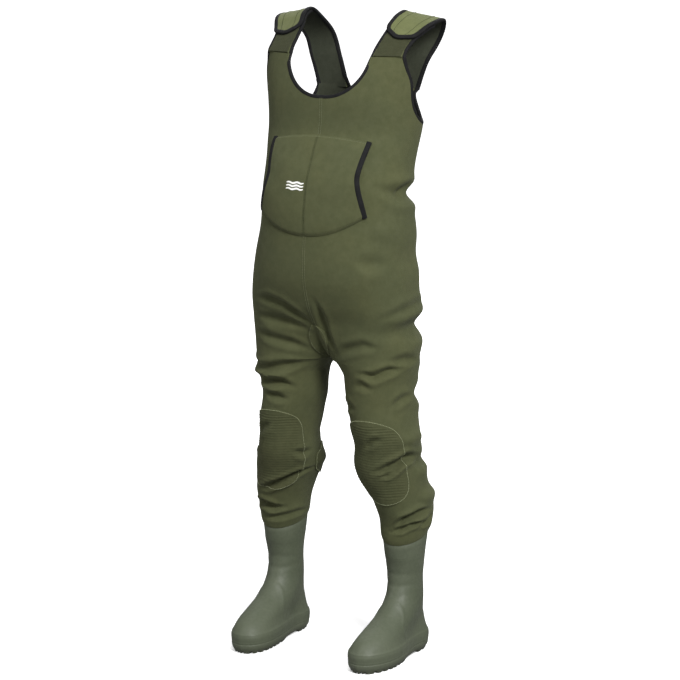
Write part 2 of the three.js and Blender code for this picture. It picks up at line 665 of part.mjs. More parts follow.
function buildLegs() {
  const us = steps(0, 1, GIRTH_STEPS).slice(0, -1);
  const hipFoot = CROTCH_Z - HIP_SLEEVE;
  const kneeTop = KNEE_Z + KNEE_SLEEVE;
  const kneeFoot = KNEE_Z - KNEE_SLEEVE;
  const cuffTop = BOOT_TOP_Z + CUFF_SLEEVE;
  const ring = (zs) => cloth(us, zs, 0, -WALL, true);
  const rows = (from, to, count) => steps(from + GAP, to, count);
  const hipRows = [...rows(hipFoot, CROTCH_Z - 34, 2), ...[22, 12, 5, 1.6, 0.5].map((drop) => CROTCH_Z - drop)];
  addPair("hip_sleeve", ring(hipRows), GREEN);
  addPair("thigh_leg", ring(rows(kneeTop, hipFoot, 3)), GREEN);
  addPair("knee_sleeve", ring(rows(kneeFoot, kneeTop, 6)), GREEN);
  addPair("shin_leg", ring(rows(cuffTop, kneeFoot, 3)), GREEN);
  addPair("cuff_sleeve", ring(rows(BOOT_TOP_Z, cuffTop, 4)), GREEN);
  addPair("knee_patch", patch(0.25, KNEE_PATCH.arc, KNEE_PATCH.foot, KNEE_PATCH.top, 8, 12), RUBBED);
  addPair("calf_patch", patch(0.917, CALF_PATCH.arc, CALF_PATCH.foot, CALF_PATCH.top, 5, 5), RUBBED);
}

// A patch on the leg, as wide as a share of its girth each way, with rounded corners.
function patch(centre, arc, foot, top, rowCount, columns) {
  const rows = steps(-1, 1, rowCount).map((v) => Math.sin((v * Math.PI) / 2));
  const grid = (off) => rows.map((v) => {
    const reach = arc * (1 - Math.abs(v) ** 4 * 0.7) ** 0.5;
    return steps(-1, 1, columns).map((h) => {
      const lift = 14 * h * h * v;
      return offBody(centre + h * reach, mix(foot, top, (v + 1) / 2) - lift, off);
    });
  });
  return solidBetween(grid(PATCH_LIFT + PATCH), grid(PATCH_LIFT), false);
}

// ---------------------------------------------------------------- boots

const bootFront = profile([
  [SOLE_TOP_Z, TOE_Y],
  [SOLE_TOP_Z + 18, TOE_Y - 1],
  [SOLE_TOP_Z + 33, TOE_Y + 5],
  [SOLE_TOP_Z + 46, TOE_Y + 22],
  [SOLE_TOP_Z + 58, TOE_Y + 50],
  [SOLE_TOP_Z + 70, TOE_Y + 80],
  [SOLE_TOP_Z + 84, TOE_Y + 112],
  [SOLE_TOP_Z + 103, TOE_Y + 140],
  [SOLE_TOP_Z + 128, SHAFT_Y - ANKLE_DEPTH - 9],
  [SOLE_TOP_Z + 168, SHAFT_Y - ANKLE_DEPTH],
  [BOOT_TOP_Z, SHAFT_Y - CUFF_WIDTH - LEG_DEEPER + WALL + 2 * GAP],
]);
const HEEL_Y = TOE_Y + SOLE_LENGTH - 2 * SOLE_EDGE;
const bootBack = profile([
  [SOLE_TOP_Z, HEEL_Y],
  [SOLE_TOP_Z + 18, HEEL_Y + 1],
  [SOLE_TOP_Z + 70, HEEL_Y - 9],
  [SOLE_TOP_Z + 128, SHAFT_Y + ANKLE_DEPTH + 5],
  [SOLE_TOP_Z + 168, SHAFT_Y + ANKLE_DEPTH],
  [BOOT_TOP_Z, SHAFT_Y + CUFF_WIDTH + LEG_DEEPER - WALL - 2 * GAP],
]);
const bootWidth = profile([
  [SOLE_TOP_Z, BALL_WIDTH],
  [SOLE_TOP_Z + 18, BALL_WIDTH + 1],
  [SOLE_TOP_Z + 46, BALL_WIDTH - 5],
  [SOLE_TOP_Z + 84, ANKLE_WIDTH + 2],
  [SOLE_TOP_Z + 168, ANKLE_WIDTH],
  [BOOT_TOP_Z - 24, ANKLE_WIDTH + 6],
  [BOOT_TOP_Z, CUFF_WIDTH - WALL - 2 * GAP],
]);
// Half width of a foot along its length, toe to heel, as a share of the width at the ball.
const footShape = profile([
  [0, 0],
  [0.02, 0.36],
  [0.06, 0.62],
  [0.13, 0.84],
  [0.22, 0.97],
  [0.31, 1],
  [0.44, 0.94],
  [0.57, 0.81],
  [0.7, 0.73],
  [0.82, 0.77],
  [0.91, 0.7],
  [0.96, 0.54],
  [0.99, 0.28],
  [1, 0],
]);

// A point of the boot's outer face: u as on the leg, from the inner side over the toe to the heel.
function bootPoint(u, z) {
  const round = Math.PI * (2 * u - 1);
  const across = Math.cos(round);
  const s = (1 + Math.sin(round)) / 2;
  const shaft = smooth((z - SOLE_TOP_Z - 18) / 75);
  const thick = z < FOXING_Z ? FOXING : 0;
  const shape = mix(footShape(s), Math.abs(across), shaft);
  const half = (bootWidth(z) + thick) * shape;
  const inset = -6 * smooth((0.4 - s) / 0.4) * (1 - shaft);
  const x = STANCE_FOOT + Math.sign(across) * half + inset;
  const y = mix(bootFront(z) - thick, bootBack(z) + thick, s);
  const tilt = BOOT_TOP_TILT * smooth((z - BOOT_TOP_Z + 90) / 90);
  return new THREE.Vector3(x, y, z + tilt * (y - SHAFT_Y));
}

function soleOutline(z, grow, count) {
  const list = steps(0, 1, count).slice(0, -1);
  return list.map((u) => {
    const p = bootPoint(u + 0.5 / count, z);
    const du = 0.5 / count;
    const along = bootPoint(u + 0.5 / count + du, z).sub(bootPoint(u + 0.5 / count - du, z));
    const out = new THREE.Vector3(along.y, -along.x, 0).normalize();
    return [p.x + out.x * grow, p.y + out.y * grow];
  });
}

function plate(outline, from, to) {
  return new THREE.ExtrudeGeometry(polygon(outline), { depth: to - from, bevelEnabled: false })
    .translate(0, 0, from);
}

const bar = (y, width, top) =>
  new THREE.BoxGeometry(140, width, 2 * top).translate(STANCE_FOOT, y, 0);

function buildBoots() {
  const us = steps(0, 1, GIRTH_STEPS).slice(0, -1);
  const rise = [GAP, 14, FOXING_Z - SOLE_TOP_Z - 0.5, FOXING_Z - SOLE_TOP_Z + 1, 36, 50, 68, 88, 112, 150, 200]
    .map((up) => SOLE_TOP_Z + up);
  const lap = [0, BOOT_LAP].map((up) => BOOT_TOP_Z + up);
  const inLeg = (u, z, off) => offBody(u, z, -WALL - 2 * GAP + off);
  const wall = (u, z, off) => {
    const p = bootPoint(u, z);
    return p.addScaledVector(outward(bootPoint, u, Math.max(z, SOLE_TOP_Z + 4)), off);
  };
  const grid = (off) => [
    ...rise.map((z) => us.map((u) => wall(u, z, off))),
    ...lap.map((z) => us.map((u) => inLeg(u, z, off))),
  ];
  addPair("boot_upper", solidBetween(grid(0), grid(-BOOT_WALL), true), MOULDED);

  const sole = plate(soleOutline(SOLE_TOP_Z, SOLE_EDGE - FOXING + 1, 30), 0, SOLE_TOP_Z);
  const archSide = [
    [HEEL_FRONT_Y, -1],
    [HEEL_FRONT_Y - 3, 9],
    [HEEL_FRONT_Y - 45, 10],
    [HEEL_FRONT_Y - 82, -1],
  ];
  const arch = new THREE.ExtrudeGeometry(polygon(archSide), { depth: 160, bevelEnabled: false })
    .applyMatrix4(new THREE.Matrix4().makeBasis(
      new THREE.Vector3(0, 1, 0),
      new THREE.Vector3(0, 0, 1),
      new THREE.Vector3(1, 0, 0),
    ))
    .translate(STANCE_FOOT - 80, 0, 0);
  const grooves = [
    ...steps(0, 5, 5).map((i) => bar(TOE_Y + 30 + i * CLEAT_PITCH, 6, CLEAT)),
    ...steps(0, 2, 2).map((i) => bar(HEEL_FRONT_Y + 18 + i * CLEAT_PITCH, 6, CLEAT)),
  ];
  addPair("outsole", cut(sole, arch, ...grooves), BLACK);
  const inner = soleOutline(SOLE_TOP_Z, -BOOT_WALL - FOXING - 2 * GAP, 30);
  addPair("insole", plate(inner, SOLE_TOP_Z + GAP, SOLE_TOP_Z + GAP + INSOLE), LINING);
}

buildBody();
buildStraps(neckPath(), armholePath());
buildPouch();
buildInside();
buildGusset();
buildLegs();
buildBoots();

export default waders;
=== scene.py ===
"""Chest waders in olive neoprene with moulded boots, standing as they are worn.

Shapes are worked out in millimetres and put into the scene in metres. The wearer faces -Y and
the wearer's left is +X. Each place on the cloth is given by u, its share of the way round from
the front centre line over the side to the back, and z, its height.
"""
import math

import bmesh
import bpy
import numpy as np
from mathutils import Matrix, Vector


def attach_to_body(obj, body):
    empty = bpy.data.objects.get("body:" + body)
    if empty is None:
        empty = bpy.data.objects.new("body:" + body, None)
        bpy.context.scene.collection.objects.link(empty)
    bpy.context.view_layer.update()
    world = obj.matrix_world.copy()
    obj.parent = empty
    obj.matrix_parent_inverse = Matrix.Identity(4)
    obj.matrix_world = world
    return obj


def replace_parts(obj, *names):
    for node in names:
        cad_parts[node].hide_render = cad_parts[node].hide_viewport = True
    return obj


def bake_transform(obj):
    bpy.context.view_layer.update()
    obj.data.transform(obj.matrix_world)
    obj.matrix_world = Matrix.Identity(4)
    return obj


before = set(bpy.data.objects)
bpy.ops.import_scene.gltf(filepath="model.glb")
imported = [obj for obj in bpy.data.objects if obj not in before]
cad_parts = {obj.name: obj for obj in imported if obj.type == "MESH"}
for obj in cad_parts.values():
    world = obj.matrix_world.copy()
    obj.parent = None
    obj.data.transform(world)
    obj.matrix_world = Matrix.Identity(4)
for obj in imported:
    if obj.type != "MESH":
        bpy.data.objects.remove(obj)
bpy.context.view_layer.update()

# ---------------------------------------------------------------- sizes
WALL = 5.0
GAP = 0.3
BOOT_TOP_Z, KNEE_Z, CROTCH_Z, HIP_Z = 283.0, 468.0, 692.0, 830.0
WAIST_Z, ARMPIT_Z, STRAP_SEAM_Z, SHOULDER_Z = 1078.0, 1234.0, 1386.0, 1471.0
HIP_WIDTH, WAIST_WIDTH, CHEST_WIDTH = 207.0, 185.0, 190.0
BELLY, SEAT, WAIST_DEPTH, CHEST_DEPTH = 150.0, 130.0, 110.0, 118.0
THIGH_WIDTH, KNEE_WIDTH, CUFF_WIDTH, LEG_DEEPER = 80.0, 72.0, 53.0, 12.0
STANCE_THIGH, STANCE_KNEE, STANCE_FOOT = 115.0, 132.0, 162.0
BODY_Y, KNEE_Y, SHAFT_Y, CHEST_Y = 12.0, 14.0, 47.0, 50.0
BOOT_TOP_TILT = 0.25
NECK_HALF, NECK_DROP = 106.0, 89.0
BACK_NECK_HALF, BACK_TOP_Z, BACK_NECK_Z = 60.0, ARMPIT_Z + 72, ARMPIT_Z + 38
STRAP_WIDTH, SHOULDER_WIDTH = 64.0, 84.0
THIGH_JOIN_Z = 573.0  # where the upper leg piece meets the knee piece
SHIN_JOIN_Z = 365.0  # where the knee piece meets the cuff piece
SOLE_TOP_Z, FOXING_Z, FOXING = 22.0, 46.0, 2.2
TOE_Y, SOLE_LENGTH, BALL_WIDTH = -170.0, 292.0, 49.0
ANKLE_WIDTH, ANKLE_DEPTH, BOOT_WALL, HEEL_FRONT_Y = 38.5, 48.0, 3.5, 50.0


def mix(a, b, t):
    return a + (b - a) * t


def smooth(t):
    s = np.clip(t, 0.0, 1.0)
    return s * s * (3 - 2 * s)


def length_along(line):
    """The distance run along a line, at each of its points."""
    return np.concatenate([[0], np.cumsum(np.linalg.norm(np.diff(line, axis=0), axis=1))])


def spread(*values):
    """The values as arrays of one shape."""
    return np.broadcast_arrays(*(np.asarray(value, float) for value in values))


def profile(rows):
    """A smooth function through rows of (place, value), flat beyond its ends."""
    at, given = np.array(rows, float).T
    low, high = np.maximum(np.arange(len(at)) - 1, 0), np.minimum(np.arange(len(at)) + 1, len(at) - 1)
    slope = (given[high] - given[low]) / (at[high] - at[low])

    def value(z):
        place = np.clip(z, at[0], at[-1])
        i = np.clip(np.searchsorted(at, place, side="right") - 1, 0, len(at) - 2)
        h = at[i + 1] - at[i]
        t = (place - at[i]) / h
        return ((1 + 2 * t) * (1 - t) ** 2 * given[i] + t * t * (3 - 2 * t) * given[i + 1]
                + t * (1 - t) ** 2 * h * slope[i] + t * t * (t - 1) * h * slope[i + 1])
    return value


half_width = profile([
    (CROTCH_Z - 60, HIP_WIDTH - 8), (HIP_Z, HIP_WIDTH),
    (mix(HIP_Z, WAIST_Z, 0.6), mix(HIP_WIDTH, WAIST_WIDTH, 0.5)),
    (WAIST_Z, WAIST_WIDTH), (ARMPIT_Z, CHEST_WIDTH), (STRAP_SEAM_Z, CHEST_WIDTH + 22)])
front_depth = profile([
    (CROTCH_Z, BELLY - 56), (CROTCH_Z + 88, BELLY - 42), (HIP_Z, BELLY - 17), (HIP_Z + 60, BELLY),
    (WAIST_Z - 92, BELLY - 5), (WAIST_Z, WAIST_DEPTH + 24), (ARMPIT_Z - 27, CHEST_DEPTH - 4),
    (ARMPIT_Z, CHEST_DEPTH - 2), (ARMPIT_Z + 64, CHEST_DEPTH + 4), (STRAP_SEAM_Z, CHEST_DEPTH - 6)])
back_depth = profile([
    (CROTCH_Z, SEAT - 28), (HIP_Z, SEAT), (WAIST_Z, WAIST_DEPTH - 12),
    (ARMPIT_Z, CHEST_DEPTH - 12), (STRAP_SEAM_Z, CHEST_DEPTH - 22)])
torso_y = profile([
    (HIP_Z, BODY_Y), (WAIST_Z, BODY_Y), (mix(WAIST_Z, ARMPIT_Z, 0.6), mix(BODY_Y, CHEST_Y, 0.5)),
    (ARMPIT_Z, CHEST_Y), (STRAP_SEAM_Z, CHEST_Y + 24)])
leg_x = profile([
    (0, STANCE_FOOT), (BOOT_TOP_Z, STANCE_FOOT), (BOOT_TOP_Z + 60, STANCE_FOOT - 1),
    (KNEE_Z - 20, STANCE_KNEE + 3), (KNEE_Z + 40, STANCE_KNEE), (CROTCH_Z - 50, STANCE_THIGH),
    (CROTCH_Z, STANCE_THIGH - 3), (HIP_Z, STANCE_THIGH - 8)])
leg_y = profile([
    (0, SHAFT_Y - 6), (BOOT_TOP_Z, SHAFT_Y), (BOOT_TOP_Z + 60, SHAFT_Y),
    (KNEE_Z - 30, mix(SHAFT_Y, KNEE_Y, 0.7)), (KNEE_Z + 40, KNEE_Y - 2), (CROTCH_Z, BODY_Y)])
leg_width = profile([
    (BOOT_TOP_Z, CUFF_WIDTH), (BOOT_TOP_Z + 40, CUFF_WIDTH + 6), (BOOT_TOP_Z + 100, KNEE_WIDTH - 4),
    (KNEE_Z - 25, KNEE_WIDTH + 3), (KNEE_Z + 30, KNEE_WIDTH), (KNEE_Z + 90, THIGH_WIDTH - 3),
    (CROTCH_Z - 50, THIGH_WIDTH), (CROTCH_Z, THIGH_WIDTH + 6)])
leg_tilt = profile([(BOOT_TOP_Z, BOOT_TOP_TILT), (BOOT_TOP_Z + 110, 0)])


def body_point(u, z):
    """The cloth's outer face on the wearer's left, before any fold."""
    u, z = spread(u, z)
    turn = np.pi * u
    depth = np.where(turn < np.pi / 2, front_depth(z), back_depth(z))
    oval_x = half_width(z) * np.maximum(np.sin(turn), 0) ** 0.9
    oval_y = torso_y(z) - np.sign(np.cos(turn)) * depth * np.abs(np.cos(turn)) ** 0.9
    share = 1 - smooth((z - (HIP_Z - 90)) / 150)
    turned = np.pi * (2 * u - 1)
    across, along = np.cos(turned), np.sin(turned)
    reach = mix(leg_width(z) + LEG_DEEPER, depth, smooth((z - CROTCH_Z + 30) / 110))
    outer = mix(leg_width(z), half_width(z) - leg_x(z), smooth((z - CROTCH_Z + 60) / 60))
    inner = mix(leg_x(z), leg_width(z), np.sqrt(np.clip((CROTCH_Z - z) / 32, 0, 1)))
    below = np.clip((HIP_Z - z) / (HIP_Z - CROTCH_Z - 1), 0, 1)
    saddle = reach * np.sqrt(1 - below ** 2)
    bridged = np.sign(along) * np.sqrt(saddle ** 2 + (reach ** 2 - saddle ** 2) * along ** 2)
    y = np.where(across >= 0, reach * along, bridged)
    x = leg_x(z) + np.where(across >= 0, outer, inner) * across
    return np.stack([mix(oval_x, x, share), mix(oval_y, leg_y(z) + y, share),
                     z + leg_tilt(z) * y * share], -1)


def unit(v):
    return v / np.maximum(np.linalg.norm(v, axis=-1, keepdims=True), 1e-9)


def outward(u, z):
    """The direction out of the cloth."""
    u, z = spread(u, z)
    held = np.where(z > CROTCH_Z - 40, np.clip(u, 0.012, 0.988), u)
    dz = np.where(np.abs(z - CROTCH_Z) < 30, 8.0, 2.0)
    along_u = body_point(held + 0.004, z) - body_point(held - 0.004, z)
    along_z = body_point(held, z + dz) - body_point(held, z - dz)
    return unit(np.cross(along_u, along_z))


# ---------------------------------------------------------------- places on the cloth
HALVINGS = 36  # steps of halving that find a place


def find_u(measure, wanted, z, low, high):
    """Where round the body, at height z, a coordinate that grows from low to high is reached."""
    low, high = np.full(np.shape(z), float(low)), np.full(np.shape(z), float(high))
    for _ in range(HALVINGS):
        middle = (low + high) / 2
        short = measure(body_point(middle, z)) < wanted
        low, high = np.where(short, middle, low), np.where(short, high, middle)
    return (low + high) / 2


def u_at_x(x, z, front=True):
    x, z = spread(x, z)
    return find_u(lambda p: p[..., 0], x, z, 0 if front else 1, 0.5)


def u_at_y(y, z):
    y, z = spread(y, z)
    return find_u(lambda p: p[..., 1], y, z, 0, 1)


# ---------------------------------------------------------------- folds in the cloth
# side (1 is the wearer's left), places (u, z) along the fold, depth and half width
FOLDS = [
    (1, [(0.80, 1070), (0.70, 1074), (0.60, 1078), (0.50, 1082), (0.42, 1084), (0.35, 1090), (0.28, 1098)],
     12.0, 11.0),
    (1, [(0.56, 1104), (0.48, 1096), (0.40, 1076)], 4.0, 10.0),
    (-1, [(0.46, 1066), (0.54, 1074), (0.62, 1070)], 7.0, 12.0),
    (1, [(0.84, 1030), (0.74, 1036), (0.62, 1030)], 4.0, 13.0),
    (-1, [(0.84, 1084), (0.74, 1092), (0.66, 1086)], 6.0, 13.0),
    (-1, [(0.30, 830), (0.20, 832), (0.14, 824), (0.08, 800), (0.02, 778)], 6.0, 10.0),
    (-1, [(0.34, 790), (0.26, 786), (0.16, 782), (0.08, 762)], 4.0, 10.0),
    (-1, [(0.36, 748), (0.28, 742), (0.18, 730), (0.11, 716)], 5.0, 10.0),
    (1, [(0.02, 850), (0.05, 820), (0.09, 780), (0.13, 740), (0.16, 706)], 5.0, 9.0),
    (1, [(0.15, 702), (0.20, 728), (0.27, 742), (0.34, 736)], 4.5, 10.0),
    (1, [(0.32, 806), (0.42, 820), (0.52, 828), (0.64, 822)], 4.0, 12.0),
    (1, [(0.36, 770), (0.45, 773), (0.54, 776), (0.64, 774), (0.76, 766)], 6.0, 14.0),
    (1, [(0.18, 938), (0.26, 930), (0.34, 936)], 3.0, 16.0),
    (-1, [(0.38, 670), (0.30, 664), (0.20, 676), (0.12, 684)], 6.0, 10.0),
    (-1, [(0.40, 640), (0.30, 634), (0.21, 634), (0.14, 622)], 8.0, 9.0),
    (-1, [(0.30, 604), (0.24, 600), (0.17, 594)], 5.0, 8.0),
    (1, [(0.24, 676), (0.31, 670), (0.37, 684), (0.44, 688)], 6.0, 9.0),
    (1, [(0.36, 702), (0.44, 708), (0.52, 700)], 4.0, 10.0),
    (1, [(0.50, 620), (0.44, 616), (0.38, 600)], 4.0, 9.0),
    (1, [(0.52, 478), (0.43, 480), (0.37, 466), (0.31, 455), (0.26, 448)], 8.5, 9.0),
    (1, [(0.40, 462), (0.34, 445), (0.28, 436)], 4.5, 6.0),
    (1, [(0.60, 452), (0.52, 462), (0.46, 470)], 5.0, 9.0),
    (-1, [(0.52, 470), (0.44, 474), (0.38, 466)], 5.0, 10.0),
    (-1, [(0.34, 368), (0.27, 374), (0.18, 392), (0.10, 412), (0.02, 420)], 7.5, 8.0),
    (-1, [(0.40, 328), (0.30, 336), (0.22, 330), (0.16, 330)], 8.0, 8.5),
    (-1, [(0.32, 304), (0.20, 309), (0.08, 312), (0.98, 306)], 3.5, 7.0),
    (1, [(0.26, 322), (0.33, 339), (0.42, 348), (0.50, 350)], 8.5, 8.0),
    (1, [(0.24, 312), (0.30, 318), (0.37, 327), (0.45, 328)], 6.0, 6.5),
    (1, [(0.55, 332), (0.48, 322), (0.42, 318)], 4.5, 7.0),
    (1, [(0.05, 360), (0.98, 350), (0.90, 356)], 5.0, 9.0),
    (-1, [(0.60, 348), (0.70, 340), (0.80, 350)], 6.0, 10.0),
    (1, [(0.64, 340), (0.74, 352), (0.84, 344)], 6.0, 10.0),
    (1, [(0.60, 512), (0.70, 504), (0.80, 512), (0.90, 506)], 6.0, 10.0),
    (-1, [(0.60, 500), (0.70, 510), (0.80, 502), (0.90, 510)], 6.0, 10.0),
    (1, [(0.62, 470), (0.72, 466), (0.84, 474)], 5.0, 9.0),
    (-1, [(0.64, 464), (0.74, 470), (0.86, 462)], 5.0, 9.0),
    (1, [(0.62, 690), (0.72, 676), (0.84, 690)], 6.5, 12.0),
    (-1, [(0.62, 684), (0.74, 694), (0.86, 680)], 6.5, 12.0),
    (1, [(0.64, 640), (0.76, 648), (0.88, 636)], 5.0, 11.0),
    (-1, [(0.62, 646), (0.74, 634), (0.88, 642)], 5.0, 11.0),
    (1, [(0.98, 800), (0.90, 772), (0.82, 754), (0.72, 748)], 6.0, 12.0),
    (-1, [(0.98, 806), (0.90, 780), (0.80, 758), (0.70, 756)], 6.0, 12.0),
    (-1, [(0.42, 676), (0.41, 620), (0.40, 560), (0.40, 500), (0.40, 440)], 6.0, 42.0),
    (-1, [(0.44, 682), (0.38, 668), (0.30, 660)], 4.0, 8.0),
    (1, [(0.76, 606), (0.66, 612), (0.56, 618), (0.50, 620)], 6.0, 11.0),
    (1, [(0.76, 700), (0.66, 706), (0.56, 702)], 3.0, 12.0),
    (1, [(0.72, 470), (0.62, 466), (0.54, 474)], 4.0, 9.0),
    (1, [(0.30, 640), (0.25, 650), (0.20, 640)], 3.0, 9.0),
    (1, [(0.20, 590), (0.14, 596), (0.08, 588)], 3.5, 9.0),
    (-1, [(0.24, 540), (0.30, 520), (0.34, 500)], 3.0, 8.0),
    (-1, [(0.14, 470), (0.09, 460), (0.04, 466)], 4.0, 8.0),
    (1, [(0.22, 500), (0.27, 520), (0.33, 530)], 3.0, 8.0),
    # broad hollows
    (1, [(0.28, 768), (0.40, 771), (0.52, 774), (0.66, 774), (0.80, 768), (0.92, 764)], 11.0, 28.0),
    (1, [(0.36, 852), (0.50, 856), (0.66, 856), (0.82, 850)], 4.0, 46.0),
    (1, [(0.30, 1086), (0.46, 1084), (0.64, 1080), (0.84, 1076)], 2.0, 24.0),
    (-1, [(0.22, 1004), (0.32, 1004), (0.42, 1002), (0.54, 1000)], 5.0, 56.0),
    (-1, [(0.46, 664), (0.44, 600), (0.43, 540), (0.42, 500), (0.40, 450), (0.40, 400)], 4.0, 34.0),
    (1, [(0.34, 936), (0.50, 940), (0.66, 940), (0.84, 932)], 5.0, 40.0),
    (-1, [(0.38, 1310), (0.37, 1200), (0.37, 1100), (0.37, 1000), (0.38, 900), (0.38, 830)], 3.6, 70.0),
    # outward bulges between the folds
    (1, [(0.46, 436), (0.56, 440), (0.66, 436)], -3.5, 22.0),
    (1, [(0.40, 735), (0.50, 740), (0.58, 735)], -1.5, 20.0),
    (-1, [(0.34, 652), (0.42, 648), (0.50, 652)], -5.0, 14.0),
    (1, [(0.40, 520), (0.50, 524), (0.58, 518)], -5.5, 20.0),
    (1, [(0.44, 380), (0.54, 376), (0.64, 384)], -6.0, 20.0),
    (-1, [(0.02, 430), (0.96, 440), (0.90, 436)], -4.0, 18.0),
    (1, [(0.26, 1010), (0.34, 1000), (0.42, 1006)], -3.0, 26.0),
]
AROUND = 1.0001  # shares past this start again at the front; 1 itself stays at the back
LEG_GAIN, BIB_GAIN = 1.75, 1.5  # how much deeper the folds are made than listed
FOLD_WIDTH = 0.9
SOFT_GAIN, SOFT_WIDTH = 0.62, 1.35  # for folds that wrap the outer side and the back
BROAD = 19  # hollows at least this wide are not softened
LIPLESS = 23  # hollows wider than this have no raised lips
LIP, LIP_AT, LIP_WIDTH = 0.34, 2.0, 0.85  # a lip's height against the depth; place and width in half widths
ENDS = 0.34  # the share of a fold's length over which each end fades
FOLD_LINES = []
for fold_side, places, depth, half in FOLDS:
    us, zs = np.array(places).T
    us = np.unwrap(us * 2 * np.pi) / (2 * np.pi) if zs.max() < CROTCH_Z else us
    share = np.linspace(0, len(us) - 1, 6 * (len(us) - 1) + 1)
    line = body_point(np.interp(share, range(len(us)), us) % AROUND, np.interp(share, range(len(zs)), zs))
    gain = LEG_GAIN if zs.max() < CROTCH_Z + 20 else BIB_GAIN
    width = FOLD_WIDTH
    if np.mean(us) > 0.5 and half < BROAD:
        gain, width = gain * SOFT_GAIN, SOFT_WIDTH
    FOLD_LINES.append((line * [fold_side, 1, 1], depth * gain, half * width))


def fold_depth(p):
    """How far the folds push each world point of the cloth in (below 0) or out, in millimetres."""
    flat = p.reshape(-1, 3)
    total = np.zeros(len(flat))
    for line, depth, half in FOLD_LINES:
        reach = 4.2 * half
        near = np.all((flat > line.min(0) - reach) & (flat < line.max(0) + reach), 1)
        if not near.any():
            continue
        q = flat[near]
        steps = np.linalg.norm(np.diff(line, axis=0), axis=1)
        run = np.concatenate([[0], np.cumsum(steps)])
        best, where = np.full(len(q), 1e9), np.zeros(len(q))
        for k in range(len(steps)):
            d = line[k + 1] - line[k]
            t = np.clip(((q - line[k]) @ d) / (d @ d), 0, 1)
            away = np.linalg.norm(q - line[k] - t[:, None] * d, axis=1)
            closer = away < best
            best, where = np.where(closer, away, best), np.where(closer, run[k] + t * steps[k], where)
        share = where / run[-1]
        fade = smooth(share / ENDS) * smooth((1 - share) / ENDS) * 0.9 + 0.1
        s = best / (half * (0.55 + 0.45 * fade))
        valley = np.exp(-(s ** 2))
        if depth > 0 and half <= LIPLESS:
            valley = valley - LIP * np.exp(-(((s - LIP_AT) / LIP_WIDTH) ** 2))
        total[near] -= depth * fade * valley
    x, y, z = flat.T
    own = np.where(x > 0, 0.0, 1.9)
    legs = smooth((720 - z) / 120) * smooth((z - 284) / 26)
    around = np.arctan2(y - leg_y(z), np.abs(x) - leg_x(z))
    slack = (np.sin(z / 15.5 + 1.7 * np.sin(around + own) + own) * 0.9
             + np.sin(z / 27 + 2.2 * np.cos(around - own) + 2 * own) * 1.6
             + np.sin(z / 9.5 + 2.6 * np.sin(around * 2 + own)) * 0.35)
    bib = smooth((z - 690) / 90) * smooth((1330 - z) / 120)
    sway = (np.sin(x / 62 + z / 95 + 0.6) * np.sin(z / 71 + y / 60) * 1.5
            + np.sin(z / 34 + x / 80 + y / 47) * 0.6 + np.sin(x / 23 + 2 * np.sin(z / 60)) * 0.25)
    total += slack * legs + sway * bib
    hem = np.exp(-(((z - leg_tilt(z) * (y - SHAFT_Y) - BOOT_TOP_Z - 1) / 9) ** 2))
    total = total * (1 - 0.85 * hem) * smooth((1372 - z) / 60)
    return total.reshape(p.shape[:-1])


def skin(u, z, off=0.0, side=1):
    """The folded cloth, at a distance out of its outer face."""
    u, z = spread(u, z)
    p, n = body_point(u, z), outward(u, z)
    q = p + n * (np.asarray(off) + fold_depth(p * [side, 1, 1]))[..., None]
    q[..., 0] = np.where(z > CROTCH_Z - 1, np.maximum(q[..., 0], 0.05), np.maximum(q[..., 0], 1.0))
    return q * [side, 1, 1]


# ---------------------------------------------------------------- making meshes
SHARP_ANGLE = math.radians(52)


def new_piece(name, points, faces, finishes, slots=None):
    """A mesh object at the origin from points in millimetres."""
    mesh = bpy.data.meshes.new(name)
    mesh.from_pydata((np.asarray(points) / 1000).tolist(), [], [list(map(int, f)) for f in faces])
    for finish in finishes:
        mesh.materials.append(finish)
    if slots is not None:
        mesh.polygons.foreach_set("material_index", np.asarray(slots, np.int32))
    mesh.polygons.foreach_set("use_smooth", np.ones(len(mesh.polygons), bool))
    mesh.validate()
    mesh.update()
    mesh.set_sharp_from_angle(angle=SHARP_ANGLE)
    piece = bpy.data.objects.new(name, mesh)
    bpy.context.scene.collection.objects.link(piece)
    return piece


def grid_faces(rows, columns, round_=False):
    r, c = np.meshgrid(np.arange(rows - 1), np.arange(columns if round_ else columns - 1), indexing="ij")
    right = (c + 1) % columns
    return np.stack([r * columns + c, r * columns + right,
                     (r + 1) * columns + right, (r + 1) * columns + c], -1).reshape(-1, 4)


def free_edges(faces, count):
    """The edges that only one face uses, in that face's order; count is the number of points."""
    edges = np.concatenate([faces[:, [i, (i + 1) % 4]] for i in range(4)])
    edges = edges[edges[:, 0] != edges[:, 1]]
    return edges[~np.isin(edges[:, 0] * count + edges[:, 1], edges[:, 1] * count + edges[:, 0])]


def walled(outer, inner, faces):
    """A closed shell: outer and inner points in the same order, joined round every free edge."""
    count = len(outer)
    faces = np.asarray(faces)
    free = free_edges(faces, count)
    rim = np.stack([free[:, 1], free[:, 0], free[:, 0] + count, free[:, 1] + count], -1)
    used = np.concatenate([faces, faces[:, ::-1] + count, rim])
    kind = np.concatenate([np.zeros(len(faces), int), np.ones(len(faces), int), np.zeros(len(rim), int)])
    return np.concatenate([outer, inner]), used, kind


def turned(faces, side):
    return faces if side > 0 else np.asarray(faces)[:, ::-1]


def tidy_faces(faces):
    """Drops the repeated corner of a face that closes to a point."""
    return [list(dict.fromkeys(map(int, f))) for f in faces if len(set(map(int, f))) > 2]


def shell_piece(name, outer, inner, faces, side, finishes):
    points, used, kind = walled(outer, inner, faces)
    used = turned(used, side)
    keep = [len(set(map(int, f))) > 2 for f in used]
    return new_piece(name, points, tidy_faces(used), finishes, np.asarray(kind)[keep])


